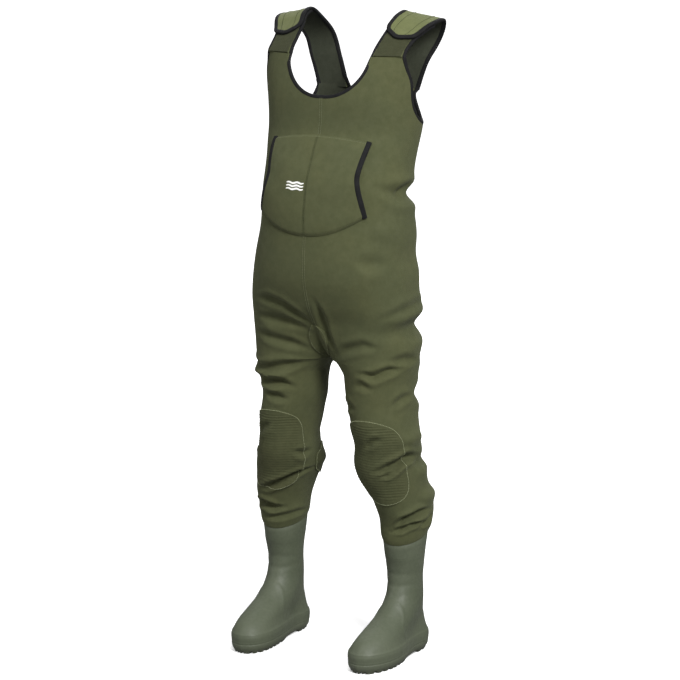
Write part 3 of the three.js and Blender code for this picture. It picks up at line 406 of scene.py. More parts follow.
# ---------------------------------------------------------------- finishes
def node_group(name, inputs, outputs, build):
    group = bpy.data.node_groups.new(name, "ShaderNodeTree")
    for label, kind, value in inputs:
        made = group.interface.new_socket(label, in_out="INPUT", socket_type=kind)
        if value is not None:
            made.default_value = value
    for label, kind in outputs:
        group.interface.new_socket(label, in_out="OUTPUT", socket_type=kind)
    start, end = group.nodes.new("NodeGroupInput"), group.nodes.new("NodeGroupOutput")
    build(group, start, end)
    return group


class Wiring:
    """Adds nodes to a tree and joins them in one line each."""

    def __init__(self, tree):
        self.tree = tree

    def put(self, kind, inputs=None, **settings):
        node = self.tree.nodes.new(kind)
        for key, value in settings.items():
            setattr(node, key, value)
        for key, value in (inputs or {}).items():
            self.feed(node.inputs[key], value)
        return node

    def feed(self, target, value):
        if isinstance(value, bpy.types.NodeSocket):
            self.tree.links.new(value, target)
        else:
            target.default_value = value

    def math(self, operation, a, b=0.0, c=0.0):
        return self.put("ShaderNodeMath", {0: a, 1: b, 2: c}, operation=operation).outputs[0]

    def blend(self, share, a, b, mode="MIX"):
        node = self.put("ShaderNodeMix", data_type="RGBA", blend_type=mode)
        for key, value in ((0, share), (6, a), (7, b)):
            self.feed(node.inputs[key], value)
        return node.outputs[2]

    def noise(self, where, scale, detail=3.0, rough=0.55):
        return self.put("ShaderNodeTexNoise", {
            "Vector": where, "Scale": scale, "Detail": detail, "Roughness": rough}).outputs[0]

    def span(self, value, low, high, to_low=0.0, to_high=1.0):
        return self.put("ShaderNodeMapRange", {
            "Value": value, "From Min": low, "From Max": high,
            "To Min": to_low, "To Max": to_high}).outputs[0]


def build_knit(group, start, end):
    """Fine knit: rows of loops, with a little unevenness, as a height."""
    w = Wiring(group)
    where, pitch = start.outputs["Place"], start.outputs["Loops per metre"]
    drift = w.put("ShaderNodeVectorMath", {0: where, 1: pitch}, operation="SCALE")
    w.feed(drift.inputs["Scale"], pitch)
    parts = w.put("ShaderNodeSeparateXYZ", {0: drift.outputs[0]})
    across = w.math("ADD", parts.outputs[0], parts.outputs[1])
    ribs = w.math("SINE", w.math("MULTIPLY", across, math.tau))
    rows = w.math("SINE", w.math("ADD", w.math("MULTIPLY", parts.outputs[2], math.tau * 0.8), ribs))
    loops = w.math("MULTIPLY_ADD", ribs, rows, 0.0)
    uneven = w.noise(where, 900.0, 2.0)
    w.feed(end.inputs["Height"], w.math("ADD", w.math("MULTIPLY", loops, 0.35), uneven))


def build_mottle(group, start, end):
    """Broad and small unevenness of dye, and rubbed places, as masks."""
    w = Wiring(group)
    where = start.outputs["Place"]
    broad = w.noise(where, start.outputs["Broad scale"], 2.0, 0.5)
    small = w.noise(where, start.outputs["Small scale"], 4.0, 0.62)
    specks = w.noise(where, 1400.0, 1.0)
    w.feed(end.inputs["Broad"], w.span(broad, 0.35, 0.65))
    w.feed(end.inputs["Small"], w.span(small, 0.36, 0.64))
    w.feed(end.inputs["Specks"], w.span(specks, 0.3, 0.7))


KNIT = node_group("knit", [("Place", "NodeSocketVector", None), ("Loops per metre", "NodeSocketFloat", 700.0)],
                  [("Height", "NodeSocketFloat")], build_knit)
MOTTLE = node_group("mottle", [("Place", "NodeSocketVector", None), ("Broad scale", "NodeSocketFloat", 9.0),
                               ("Small scale", "NodeSocketFloat", 70.0)],
                    [("Broad", "NodeSocketFloat"), ("Small", "NodeSocketFloat"), ("Specks", "NodeSocketFloat")],
                    build_mottle)


def new_finish(name, broad_scale, small_scale):
    """A material with its shader, its place on the object and its mottle, ready to wire."""
    material = bpy.data.materials.new(name)
    material.use_nodes = True
    material.node_tree.nodes.clear()
    w = Wiring(material.node_tree)
    shader = w.put("ShaderNodeBsdfPrincipled")
    w.put("ShaderNodeOutputMaterial", {"Surface": shader.outputs[0]})
    where = w.put("ShaderNodeTexCoord").outputs["Object"]
    mottle = w.put("ShaderNodeGroup", node_tree=MOTTLE)
    w.feed(mottle.inputs["Place"], where)
    mottle.inputs["Broad scale"].default_value = broad_scale
    mottle.inputs["Small scale"].default_value = small_scale
    return material, w, shader, where, mottle.outputs


def cloth_finish(name, base, warm, dark, loops=700.0, depth=0.0006, rough=(0.80, 0.94), sheen=0.07,
                 sheen_tint=(0.6, 0.65, 0.45, 1), ribs=None):
    """Knit-faced cloth: base colour with warmer and darker places, knit bump and a faint sheen."""
    material, w, shader, where, mottle = new_finish(name, 9.0, 60.0)
    knit = w.put("ShaderNodeGroup", node_tree=KNIT)
    w.feed(knit.inputs["Place"], where)
    knit.inputs["Loops per metre"].default_value = loops
    warm_share = w.math("MULTIPLY", mottle["Broad"], 0.55)
    colour = w.blend(warm_share, (*base, 1), (*warm, 1))
    dark_share = w.math("MULTIPLY", mottle["Small"], 0.28)
    colour = w.blend(dark_share, colour, (*dark, 1))
    fleck = w.math("MULTIPLY", mottle["Specks"], 0.16)
    colour = w.blend(fleck, colour, (*dark, 1))
    height = knit.outputs["Height"]
    if ribs:
        parts = w.put("ShaderNodeSeparateXYZ", {0: where})
        wander = w.math("MULTIPLY", w.noise(where, 30.0, 2.0), 1.6)
        wave = w.math("SINE", w.math("ADD", w.math("MULTIPLY", parts.outputs[2], math.tau / ribs), wander))
        height = w.math("ADD", height, w.math("MULTIPLY", wave, 0.9))
        # the rib troughs are darkened towards the dark colour: painted shade in the grooves
        colour = w.blend(w.span(wave, 0.2, -1.0, 0.0, 0.5), colour, (*[c * 0.55 for c in dark], 1))
    w.feed(shader.inputs["Base Color"], colour)
    w.feed(shader.inputs["Roughness"], w.span(mottle["Small"], 0, 1, *rough))
    bump = w.put("ShaderNodeBump", {"Height": height, "Distance": depth, "Strength": 0.6})
    w.feed(shader.inputs["Normal"], bump.outputs[0])
    shader.inputs["Sheen Weight"].default_value = sheen
    shader.inputs["Sheen Roughness"].default_value = 0.45
    shader.inputs["Sheen Tint"].default_value = sheen_tint
    shader.inputs["Specular IOR Level"].default_value = 0.25
    return material


def moulded_finish(name, base, pale, dark, rough=(0.36, 0.52), coat=0.12):
    """Moulded PVC: slightly uneven colour, scuffs that dull it, and a soft gloss."""
    material, w, shader, where, mottle = new_finish(name, 14.0, 120.0)
    colour = w.blend(w.math("MULTIPLY", mottle["Broad"], 0.6), (*base, 1), (*pale, 1))
    colour = w.blend(w.math("MULTIPLY", mottle["Small"], 0.2), colour, (*dark, 1))
    low = w.put("ShaderNodeSeparateXYZ", {0: where}).outputs[2]
    # paler towards the foot of the boot, below 9 cm: partly dust, partly painted light standing in for the top light
    # on the toe
    dust_and_painted_toe_light = w.math("MULTIPLY", w.span(low, 0.09, 0.0, 0.0, 0.5), mottle["Small"])
    colour = w.blend(dust_and_painted_toe_light, colour, (*pale, 1))
    w.feed(shader.inputs["Base Color"], colour)
    w.feed(shader.inputs["Roughness"], w.span(mottle["Small"], 0, 1, *rough))
    grain = w.put("ShaderNodeTexVoronoi", {"Vector": where, "Scale": 900.0}).outputs["Distance"]
    swell = w.noise(where, 38.0, 3.0)
    height = w.math("ADD", w.math("MULTIPLY", grain, 0.12), swell)
    bump = w.put("ShaderNodeBump", {"Height": height, "Distance": 0.0009, "Strength": 0.35})
    w.feed(shader.inputs["Normal"], bump.outputs[0])
    shader.inputs["Coat Weight"].default_value = coat
    shader.inputs["Coat Roughness"].default_value = 0.35
    return material


neoprene = cloth_finish("neoprene", (0.058, 0.064, 0.0275), (0.070, 0.073, 0.0285), (0.041, 0.047, 0.021))
# the flap cloth is made paler than the bib's neoprene: painted light, standing in for the key light that falls on
# the flaps
flap_cloth_painted_light = cloth_finish("flap_cloth_painted_light", (0.098, 0.110, 0.044), (0.106, 0.116, 0.046), (0.070, 0.080, 0.034))
rubbed = cloth_finish("rubbed_patch", (0.054, 0.059, 0.0245), (0.062, 0.064, 0.026), (0.034, 0.038, 0.017),
                      loops=500.0, depth=0.0009, sheen=0.05)
# the loop pile is made much darker than the neoprene: a little of this is the pile's own darker colour, most is
# painted shadow cast by the flap lying over it
loop_pile_painted_shade = cloth_finish("loop_pile", (0.030, 0.033, 0.0145), (0.035, 0.037, 0.015), (0.018, 0.020, 0.010),
                    loops=420.0, depth=0.0016, rough=(0.88, 0.98), sheen=0.06)
inner_cloth = cloth_finish("inner_cloth", (0.030, 0.034, 0.021), (0.036, 0.039, 0.024), (0.020, 0.023, 0.015),
                           loops=900.0, sheen=0.08)
edge_cloth = cloth_finish("edge_binding", (0.0028, 0.0029, 0.0034), (0.0036, 0.0036, 0.0040),
                          (0.0015, 0.0015, 0.0018), loops=520.0, depth=0.0008, rough=(0.72, 0.86), sheen=0.0,
                          sheen_tint=(0.5, 0.5, 0.5, 1))
hooks = cloth_finish("hook_tape", (0.010, 0.011, 0.009), (0.014, 0.014, 0.012), (0.004, 0.004, 0.004),
                     loops=380.0, depth=0.0018, rough=(0.4, 0.6), sheen=0.0)
thread = cloth_finish("thread", (0.260, 0.285, 0.165), (0.290, 0.300, 0.180), (0.180, 0.200, 0.115),
                      loops=1500.0, depth=0.0003, sheen=0.2)
seam_thread = cloth_finish("seam_thread", (0.115, 0.125, 0.068), (0.130, 0.136, 0.074), (0.080, 0.088, 0.048),
                           loops=1500.0, depth=0.0003, sheen=0.1)
dark_thread = cloth_finish("dark_thread", (0.040, 0.048, 0.018), (0.046, 0.053, 0.020), (0.028, 0.034, 0.014),
                           loops=1500.0, depth=0.0003, sheen=0.1)
printed = cloth_finish("white_print", (0.80, 0.80, 0.77), (0.76, 0.76, 0.72), (0.60, 0.60, 0.56),
                       loops=700.0, depth=0.0003, rough=(0.5, 0.65), sheen=0.0)
moulded = moulded_finish("moulded_boot", (0.058, 0.070, 0.040), (0.080, 0.092, 0.058), (0.036, 0.045, 0.026),
                         rough=(0.56, 0.70), coat=0.04)
tread = moulded_finish("tread", (0.058, 0.069, 0.040), (0.078, 0.089, 0.058), (0.034, 0.041, 0.025),
                       rough=(0.5, 0.7), coat=0.0)
felt = cloth_finish("insole_felt", (0.060, 0.060, 0.050), (0.070, 0.068, 0.056), (0.030, 0.030, 0.026),
                    loops=300.0, depth=0.0012, sheen=0.2)

SIDES = (("left", 1), ("right", -1))
BENDS = {  # each fabric piece that crosses a joint: bodies, start and end of the bend
    "hip": lambda name, s: ("torso", "thigh_" + name,
                            (s * 0.090, 0.012, 0.700), (s * 0.120, 0.012, 0.598)),
    "knee": lambda name, s: ("thigh_" + name, "shin_" + name,
                             (s * 0.133, 0.0175, 0.548), (s * 0.133, 0.0175, 0.388)),
    "cuff": lambda name, s: ("shin_" + name, "boot_" + name,
                             (s * 0.1627, 0.047, 0.341), (s * 0.1627, 0.047, 0.290)),
}


def bend(piece, where, name, side):
    a, b, start, end = BENDS[where](name, side)
    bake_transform(piece)


def on_torso(piece):
    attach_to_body(piece, "torso")
    return piece


# ---------------------------------------------------------------- outlines of the bib
ARMHOLE = np.array([
    (14, STRAP_SEAM_Z + 20), (8, STRAP_SEAM_Z - 20), (17, STRAP_SEAM_Z - 56), (23, ARMPIT_Z + 50),
    (36, ARMPIT_Z + 24), (62, ARMPIT_Z + 5), (86, ARMPIT_Z), (110, ARMPIT_Z + 8),
    (130, ARMPIT_Z + 30), (143, ARMPIT_Z + 62), (147, STRAP_SEAM_Z + 20)], float)


def through(points, count):
    """A centripetal Catmull-Rom line through points, as evenly spaced points."""
    p = np.asarray(points, float)
    p = np.concatenate([[2 * p[0] - p[1]], p, [2 * p[-1] - p[-2]]])
    made = []
    for i in range(1, len(p) - 2):
        a, b, c, d = p[i - 1:i + 3]
        ab, bc, cd = (max(np.linalg.norm(q - r) ** 0.5, 1e-4) for q, r in ((b, a), (c, b), (d, c)))
        leave = ((b - a) / ab - (c - a) / (ab + bc) + (c - b) / bc) * bc
        arrive = ((c - b) / bc - (d - b) / (bc + cd) + (d - c) / cd) * bc
        t = np.linspace(0, 1, 24, endpoint=False)[:, None]
        made.append(b + leave * t + (-3 * b + 3 * c - 2 * leave - arrive) * t ** 2
                    + (2 * b - 2 * c + leave + arrive) * t ** 3)
    line = np.concatenate([*made, [p[-2]]])
    run = length_along(line)
    at = np.linspace(0, run[-1], count)
    return np.stack([np.interp(at, run, line[:, k]) for k in range(line.shape[1])], -1)


ARM_LINE = through(ARMHOLE, 90)
ROUNDING = 0.92  # a neckline's corner radius against its half width


def clear_of_scoop(x, z, half, foot):
    """How far a point of the bib lies outside a round-cornered neckline; below 0 is cut away."""
    corner = half * ROUNDING
    dx, dz = np.abs(x) - (half - corner), (foot + corner) - z
    round_ = np.hypot(np.maximum(dx, 0), np.maximum(dz, 0)) - corner
    return np.where(dz <= 0, np.abs(x) - half, np.where(dx <= 0, dz - corner, round_))


def clear_of_armhole(y, z):
    flat = np.stack([np.ravel(y), np.ravel(z)], -1)
    best = np.full(len(flat), 1e9)
    inside = np.zeros(len(flat), bool)
    for a, b in zip(ARM_LINE[:-1], ARM_LINE[1:]):
        d = b - a
        t = np.clip(((flat - a) @ d) / (d @ d), 0, 1)
        best = np.minimum(best, np.linalg.norm(flat - a - t[:, None] * d, axis=1))
        crosses = (min(a[0], b[0]) <= flat[:, 0]) & (flat[:, 0] < max(a[0], b[0]))
        line_z = a[1] + (flat[:, 0] - a[0]) / (d[0] if abs(d[0]) > 1e-9 else 1e-9) * d[1]
        inside ^= crosses & (flat[:, 1] > line_z)
    return np.where(inside, -best, best).reshape(np.shape(y))


WELL_CLEAR = 99.0
EDGE_IN = 1.5  # the cloth stops this far inside its outline


def bib_clearance(u, z):
    """Above 0 where the bib's cloth is, below 0 where it is cut away."""
    p = body_point(u, z)
    x, y, height = p[..., 0], p[..., 1], p[..., 2]
    keep = np.full(np.shape(x), WELL_CLEAR)
    before = clear_of_scoop(x, height, NECK_HALF, STRAP_SEAM_Z - NECK_DROP)
    keep = np.where(y < BODY_Y, np.minimum(keep, before), keep)
    behind = np.minimum(clear_of_scoop(x, height, BACK_NECK_HALF, BACK_NECK_Z), BACK_TOP_Z - height)
    keep = np.where(y > CHEST_Y, np.minimum(keep, behind), keep)
    by_the_arm = (x > NECK_HALF + 16) & (height > ARMPIT_Z - 40)
    return np.where(by_the_arm, np.minimum(keep, clear_of_armhole(y, height)), keep)


def trousers_half(name, side):
    """Bib, seat and upper leg of one side, one shell of cloth split only at the centre seams."""
    us = np.linspace(0, 1, 131)
    near_crotch = np.array([-9, -6.5, -4.5, -2.8, -1.4, -0.5, 0.3, 1.2, 2.6, 4.6, 7.2, 10.5])
    zs = np.concatenate([np.linspace(THIGH_JOIN_Z, CROTCH_Z - 12, 24), CROTCH_Z + near_crotch,
                         np.linspace(CROTCH_Z + 14, STRAP_SEAM_Z, 146)])
    U, Z = (a.copy() for a in np.meshgrid(us, zs))
    keep = bib_clearance(U, Z)
    faces = grid_faces(len(zs), len(us))
    flat = keep.ravel()
    faces = faces[flat[faces].mean(1) > 0.5]
    # pull the free edge onto the outline
    count = U.size
    rim = np.unique(free_edges(faces, count))
    rim = rim[np.abs(flat[rim]) < 9]
    u, z = U.ravel()[rim], Z.ravel()[rim]
    girth = 620.0
    for _ in range(4):
        f = bib_clearance(u, z) - EDGE_IN
        fu = (bib_clearance(u + 0.001, z) - bib_clearance(u - 0.001, z)) / (0.002 * girth)
        fz = (bib_clearance(u, z + 0.6) - bib_clearance(u, z - 0.6)) / 1.2
        size = np.maximum(fu ** 2 + fz ** 2, 0.2)
        u = np.clip(u - np.clip(f * fu / size, -4, 4) / girth, 0, 1)
        z = np.minimum(z - np.clip(f * fz / size, -4, 4), STRAP_SEAM_Z)
    U.ravel()[rim], Z.ravel()[rim] = u, z
    # below the crotch the two ends of each row are one line of cloth
    last = len(us) - 1
    index = np.arange(count).reshape(U.shape)
    index[zs < CROTCH_Z, last] = index[zs < CROTCH_Z, 0]
    faces = index.ravel()[faces]
    outer, inner = skin(U, Z, 0, side).reshape(-1, 3), skin(U, Z, -WALL, side).reshape(-1, 3)
    piece = shell_piece("bib_and_seat_" + name, outer, inner, faces, side, [neoprene, inner_cloth])
    strip_loose(piece)
    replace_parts(piece, "body_half_" + name, "hip_sleeve_" + name)
    bend(piece, "hip", name, side)


def strip_loose(piece):
    """Removes points that no face uses."""
    b = bmesh.new()
    b.from_mesh(piece.data)
    loose = [v for v in b.verts if not v.link_faces]
    bmesh.ops.delete(b, geom=loose, context="VERTS")
    b.to_mesh(piece.data)
    b.free()


def leg_piece(label, name, side, low, high, rows, where, replaced):
    """A length of leg, closed round, with its own wall."""
    us, zs = np.linspace(0, 1, 111)[:-1], np.linspace(low, high, rows)
    U, Z = np.meshgrid(us, zs)
    outer, inner = skin(U, Z, 0, side), skin(U, Z, -WALL, side)
    if low == BOOT_TOP_Z:  # the hem is rolled and bonded down onto the boot
        lip = -2.0 * np.exp(-(((Z - low) / 7.0) ** 2)) - 0.8 * np.exp(-(((Z - low) / 1.4) ** 2))
        outer = skin(U, Z, lip, side)
    piece = shell_piece(label + "_" + name, outer.reshape(-1, 3), inner.reshape(-1, 3),
                        grid_faces(rows, len(us), True), side, [neoprene, inner_cloth])
    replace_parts(piece, *[node + "_" + name for node in replaced])
    bend(piece, where, name, side)


# ---------------------------------------------------------------- straps
FRONT_SEAM = body_point(u_at_x(NECK_HALF + STRAP_WIDTH / 2 + 4, STRAP_SEAM_Z), STRAP_SEAM_Z)
BACK_SEAM = body_point(u_at_x(BACK_NECK_HALF + 34, BACK_TOP_Z, False), BACK_TOP_Z)
SEAM_X, SEAM_Y = FRONT_SEAM[:2]
STRAP_RUN = through([
    (SEAM_X, SEAM_Y, STRAP_SEAM_Z), (SEAM_X + 1, SEAM_Y + 32, STRAP_SEAM_Z + 28),
    (SEAM_X + 6, SEAM_Y + 64, STRAP_SEAM_Z + 53), (SEAM_X + 16, SEAM_Y + 92, STRAP_SEAM_Z + 72),
    (SEAM_X + 23, SEAM_Y + 120, SHOULDER_Z - 5), (SEAM_X + 21, SEAM_Y + 140, SHOULDER_Z - 6),
    (SEAM_X + 13, SEAM_Y + 155, SHOULDER_Z - 20),
    (mix(BACK_SEAM[0], SEAM_X, 0.85), BACK_SEAM[1] + 5, SHOULDER_Z - 54),
    (mix(BACK_SEAM[0], SEAM_X, 0.4), BACK_SEAM[1] + 3, mix(BACK_TOP_Z, SHOULDER_Z, 0.36)),
    (BACK_SEAM[0], BACK_SEAM[1], BACK_TOP_Z)], 401)
STRAP_LENGTH = length_along(STRAP_RUN)[-1]
FLAP_FROM, TAPE_FROM, TAPE_TO, PILE_TO, HINGE_AT = 7 / 40, 9 / 40, 15 / 40, 16 / 40, 20 / 40
TOP_OFF = WALL + 2 + 3 * GAP  # the flap lies on its hook tape and the loop pile
EDGE = GAP + 3.8  # a binding's middle lies this far beyond a strap's edge
FLAP_NOSE = 0.055
STRAP_LAP = 8.0  # the strap is sewn over the top of the back panel by this much
BACK_LIFT = 1.3
FRONT_END, BACK_END = 0.12, 0.85  # shares of the strap's line outside which its ends are levelled
HOOK_INSET, PILE_INSET = 9, 2  # how far a panel stops short of the strap's sides


def strap_frame(t):
    t = np.atleast_1d(np.asarray(t, float))
    held = np.clip(t, 0, 1)
    places = np.linspace(0, 1, len(STRAP_RUN))
    at = np.stack([np.interp(held, places, STRAP_RUN[:, k]) for k in range(3)], -1)
    before, after = np.clip(held - 0.004, 0, 1), np.clip(held + 0.004, 0, 1)
    along = unit(np.stack([np.interp(after, places, STRAP_RUN[:, k]) - np.interp(before, places, STRAP_RUN[:, k])
                           for k in range(3)], -1))
    at = at + along * ((t - held) * STRAP_LENGTH)[:, None]
    over = np.sin(np.pi * smooth((t - 0.08) / 0.84))
    across = np.stack([np.ones_like(t), 0.3 * (1 - smooth((t - 0.5) / 0.3)), -0.2 * over], -1)
    across = unit(across - along * (across * along).sum(-1, keepdims=True))
    return at, across, unit(np.cross(across, along))


strap_half = profile([(0, STRAP_WIDTH / 2), (0.2, STRAP_WIDTH / 2), (HINGE_AT, SHOULDER_WIDTH / 2),
                      (0.75, STRAP_WIDTH / 2 + 3), (1, STRAP_WIDTH / 2 + 2)])


def strap_point(t, across_mm, off, side=1):
    t, across_mm, off = spread(t, across_mm, off)
    at, across, face = strap_frame(t.ravel())
    # a little slack: the cloth bows across its width and dips between its ends
    bow = 1.0 * (1 - (across_mm.ravel() / 36) ** 2) * np.sin(t.ravel() * 14)
    p = at + across * across_mm.ravel()[:, None] + face * (off.ravel() + bow)[:, None]
    return (p * [side, 1, 1]).reshape(t.shape + (3,))


def back_off(t):
    """How far the strap's outer face lies over its line; behind, it is just clear of the back panel."""
    return mix(TOP_OFF, BACK_LIFT, smooth((t - HINGE_AT) / 0.35))


def flap_half(t):
    s = np.clip((t - FLAP_FROM) / FLAP_NOSE, 0, 1)
    nose = (strap_half(t) + 1) * np.sqrt(np.maximum(0.10, s * (2 - s)))
    return np.where(t < HINGE_AT, mix(nose, strap_half(t), smooth((t - 0.4) / 0.1)), strap_half(t))


def share_at_height(across_mm, off, z, low, high):
    """The share of the strap's line, between low and high, at which a line along it crosses a height."""
    across_mm = np.atleast_1d(np.asarray(across_mm, float))
    a, b = np.full(across_mm.shape, low), np.full(across_mm.shape, high)
    rising = strap_point(high, 0, 0)[2] > strap_point(low, 0, 0)[2]
    for _ in range(26):
        m = (a + b) / 2
        above = strap_point(m, across_mm, off)[..., 2] > z
        a, b = np.where(above == rising, a, m), np.where(above == rising, m, b)
    return (a + b) / 2


def level_ends(T, across):
    """Moves the ends of lines along the strap so that they stop on the level seams of the bib."""
    start = share_at_height(across[0], -WALL / 2, STRAP_SEAM_Z, -0.09, FRONT_END)
    stop = share_at_height(across[-1], -WALL / 2, BACK_TOP_Z - STRAP_LAP, BACK_END, 1.12)
    T = np.where(T < FRONT_END, mix(start, FRONT_END, np.clip(T / FRONT_END, 0, 1)), T)
    return np.where(T > BACK_END, mix(BACK_END, stop, (T - BACK_END) / (1 - BACK_END)), T)


def strap_cloth(name, side, ts, half, high, low, finishes, columns=15):
    h = np.linspace(-1, 1, columns)
    T, H = np.meshgrid(ts, h, indexing="ij")
    across = H * half(T)
    if ts[0] <= 0 or ts[-1] >= 1:
        T = level_ends(T, across)
    outer, inner = (strap_point(T, across, off(T), side).reshape(-1, 3) for off in (high, low))
    return shell_piece(name, outer, inner, grid_faces(len(ts), columns), side, finishes)


def strap_bend(piece):
    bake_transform(piece)


def build_strap(name, side):
    front = strap_cloth("chest_strap_" + name, side, np.linspace(0, PILE_TO, 60), strap_half,
                        lambda t: 0 * t, lambda t: 0 * t - WALL, [neoprene, inner_cloth])
    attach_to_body(front, "torso")
    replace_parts(front, "front_strap_" + name)
    fuzz = strap_cloth("loop_panel_" + name, side, np.linspace(0, PILE_TO, 60), lambda t: strap_half(t) - PILE_INSET,
                       lambda t: 0 * t + GAP + 1, lambda t: 0 * t + GAP, [loop_pile_painted_shade])
    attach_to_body(fuzz, "torso")
    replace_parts(fuzz, "loop_pile_" + name)
    tape = strap_cloth("hook_panel_" + name, side, np.linspace(TAPE_FROM, TAPE_TO, 30),
                       lambda t: strap_half(t) - HOOK_INSET, lambda t: 0 * t + 2 * GAP + 2,
                       lambda t: 0 * t + 2 * GAP + 1, [hooks])
    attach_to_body(tape, "strap_flap_" + name)
    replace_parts(tape, "hook_tape_" + name)
    ts = np.concatenate([FLAP_FROM + FLAP_NOSE * (1 - np.cos(np.linspace(0, np.pi / 2, 12)))[:-1],
                         np.linspace(FLAP_FROM + FLAP_NOSE, 1.0, 110)])
    cover = strap_cloth("shoulder_strap_" + name, side, ts, flap_half, back_off, lambda t: back_off(t) - WALL,
                        [flap_cloth_painted_light, inner_cloth])
    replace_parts(cover, "strap_flap_" + name, "back_strap_" + name)
    strap_bend(cover)
    edge = np.linspace(0.985, FLAP_FROM + FLAP_NOSE, 60)
    nose = np.linspace(FLAP_FROM + FLAP_NOSE, FLAP_FROM + 0.002, 14)[1:]
    run = np.concatenate([edge, nose])
    rows = [(t, s * (flap_half(t) + EDGE * 0.75)) for s, order in ((-1, run), (1, run[::-1])) for t in order]
    tip = [(FLAP_FROM - 0.011, -9.0), (FLAP_FROM - 0.013, 0.0), (FLAP_FROM - 0.011, 9.0)]
    rows = rows[:len(run)] + tip + rows[len(run):]
    t, a = np.array(rows).T
    path = strap_point(t, a, back_off(t) - WALL / 2, side)
    middle = strap_point(np.maximum(t, FLAP_FROM + 0.04), a * 0.55, back_off(t) - WALL / 2, side)
    out = strap_frame(t)[2] * [side, 1, 1]
    trim = binding("strap_binding_" + name, path, out, middle, reach=7.6, lip=3.2, thick=3.5)
    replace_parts(trim, "flap_binding_" + name)
    strap_bend(trim)


# ---------------------------------------------------------------- edge binding
RING = 14  # corners round a binding
BINDING_STEP = 3.6


def binding(name, path, out, toward, reach=6.4, lip=2.4, thick=3.2):
    """Folded tape over a cloth edge: path is the edge, out leaves the cloth's face, toward is on the cloth."""
    path, out, toward = (np.asarray(a, float) for a in (path, out, toward))
    run = length_along(path)
    count = int(run[-1] / BINDING_STEP)
    at = np.linspace(0, run[-1], count)

    def even(values):
        line = np.stack([np.interp(at, run, values[:, k]) for k in range(3)], -1)
        for _ in range(4):
            line[1:-1] = (line[:-2] + 2 * line[1:-1] + line[2:]) / 4
        return line
    middle, normal, inward = even(path), even(unit(out)), even(toward) - even(path)
    along = unit(np.gradient(middle, axis=0))
    normal = unit(normal - along * (normal * along).sum(-1, keepdims=True))
    inward = unit(inward - along * (inward * along).sum(-1, keepdims=True)
                  - normal * (inward * normal).sum(-1, keepdims=True))
    turn = np.linspace(0, 2 * np.pi, RING, endpoint=False)
    b = (reach - lip) / 2 + (reach + lip) / 2 * np.sign(np.cos(turn)) * np.abs(np.cos(turn)) ** 0.7
    n = thick * np.sign(np.sin(turn)) * np.abs(np.sin(turn)) ** 0.55
    n = n * (1 - 0.10 * smooth((b - 3) / 5))
    pucker = 1 + 0.035 * np.sin(at / 4.6)[:, None] + 0.02 * np.sin(at / 11.0)[:, None]
    rings = (middle[:, None] + inward[:, None] * b[None, :, None]
             + normal[:, None] * (n[None, :] * pucker)[..., None])
    handed = np.sign(np.linalg.det(np.stack([along[count // 2], inward[count // 2], normal[count // 2]])))
    faces = grid_faces(count, RING, True).tolist()
    faces += [list(range(RING))[::-1], [(count - 1) * RING + k for k in range(RING)]]
    if handed < 0:
        faces = [f[::-1] for f in faces]
    piece = new_piece(name, rings.reshape(-1, 3), faces, [edge_cloth])
    return piece


def scoop_edge(half, foot, top, step=0.06):
    """Points (x, z) up a neckline from its middle, on the wearer's left."""
    corner = half * ROUNDING
    a = np.arange(0, np.pi / 2, step)
    x = np.concatenate([[0.0], half - corner + corner * np.sin(a)])
    z = np.concatenate([[foot], foot + corner - corner * np.cos(a)])
    keep = z < top - 12
    return x[keep], z[keep]


def cloth_edge(u, z, side=1):
    middle = skin(u, z, -WALL / 2, side)
    return middle, skin(u, z, 2.0, side) - middle


def neck_rows(side, front=True):
    x, z = scoop_edge(*((NECK_HALF, STRAP_SEAM_Z - NECK_DROP, STRAP_SEAM_Z) if front else
                        (BACK_NECK_HALF, BACK_NECK_Z, BACK_TOP_Z)))
    u = np.where(x < 0.5, 0.0 if front else 1.0, u_at_x(x, z, front))
    middle, out = cloth_edge(u, z, side)
    middle[0, 0] = 0
    below = skin(u_at_x(x + 9 * (x / (x.max() + 1)), z - 10, front), z - 10, -WALL / 2, side)
    below[0, 0] = 0
    return middle, out, below


def strap_rows(ts, edge_side, side):
    edge = edge_side * (strap_half(ts) + EDGE)
    middle = strap_point(ts, edge, -WALL / 2, side)
    return middle, strap_frame(ts)[2] * [side, 1, 1], strap_point(ts, edge * 0.6, -WALL / 2, side)


def arm_rows(side):
    behind = ARM_LINE[:, 0] > CHEST_Y
    line = ARM_LINE[ARM_LINE[:, 1] < np.where(behind, BACK_TOP_Z - 8, STRAP_SEAM_Z - 24)]
    u = u_at_y(line[:, 0], line[:, 1])
    middle, out = cloth_edge(u, line[:, 1], side)
    centre = np.array([80.0, ARMPIT_Z + 120])
    away = unit(line - centre)
    lower = line + away * 10
    below = skin(u_at_y(lower[:, 0], lower[:, 1]), lower[:, 1], -WALL / 2, side)
    return middle, out, below


def join_rows(*parts):
    return [np.concatenate([p[k] for p in parts]) for k in range(3)]


def back(rows):
    return [r[::-1] for r in rows]


def build_bindings():
    front_ts = np.linspace(2 / 40, PILE_TO, 26)
    halves = {s: join_rows(neck_rows(s), strap_rows(front_ts, -1, s)) for s in (1, -1)}
    whole = join_rows(back(halves[-1]), [r[1:] for r in halves[1]])
    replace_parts(on_torso(binding("neck_binding_visual", *whole)), "neck_binding")
    back_ts = np.array([0.985, 0.965, 0.945])
    halves = {s: join_rows(neck_rows(s, False), strap_rows(back_ts, -1, s)) for s in (1, -1)}
    whole = join_rows(back(halves[-1]), [r[1:] for r in halves[1]])
    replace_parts(on_torso(binding("back_neck_binding_visual", *whole)), "back_neck_binding")
    for name, side in SIDES:
        rows = join_rows(back(strap_rows(front_ts, 1, side)), arm_rows(side), strap_rows(back_ts, 1, side))
        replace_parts(on_torso(binding("armhole_binding_visual_" + name, *rows)), "armhole_binding_" + name)


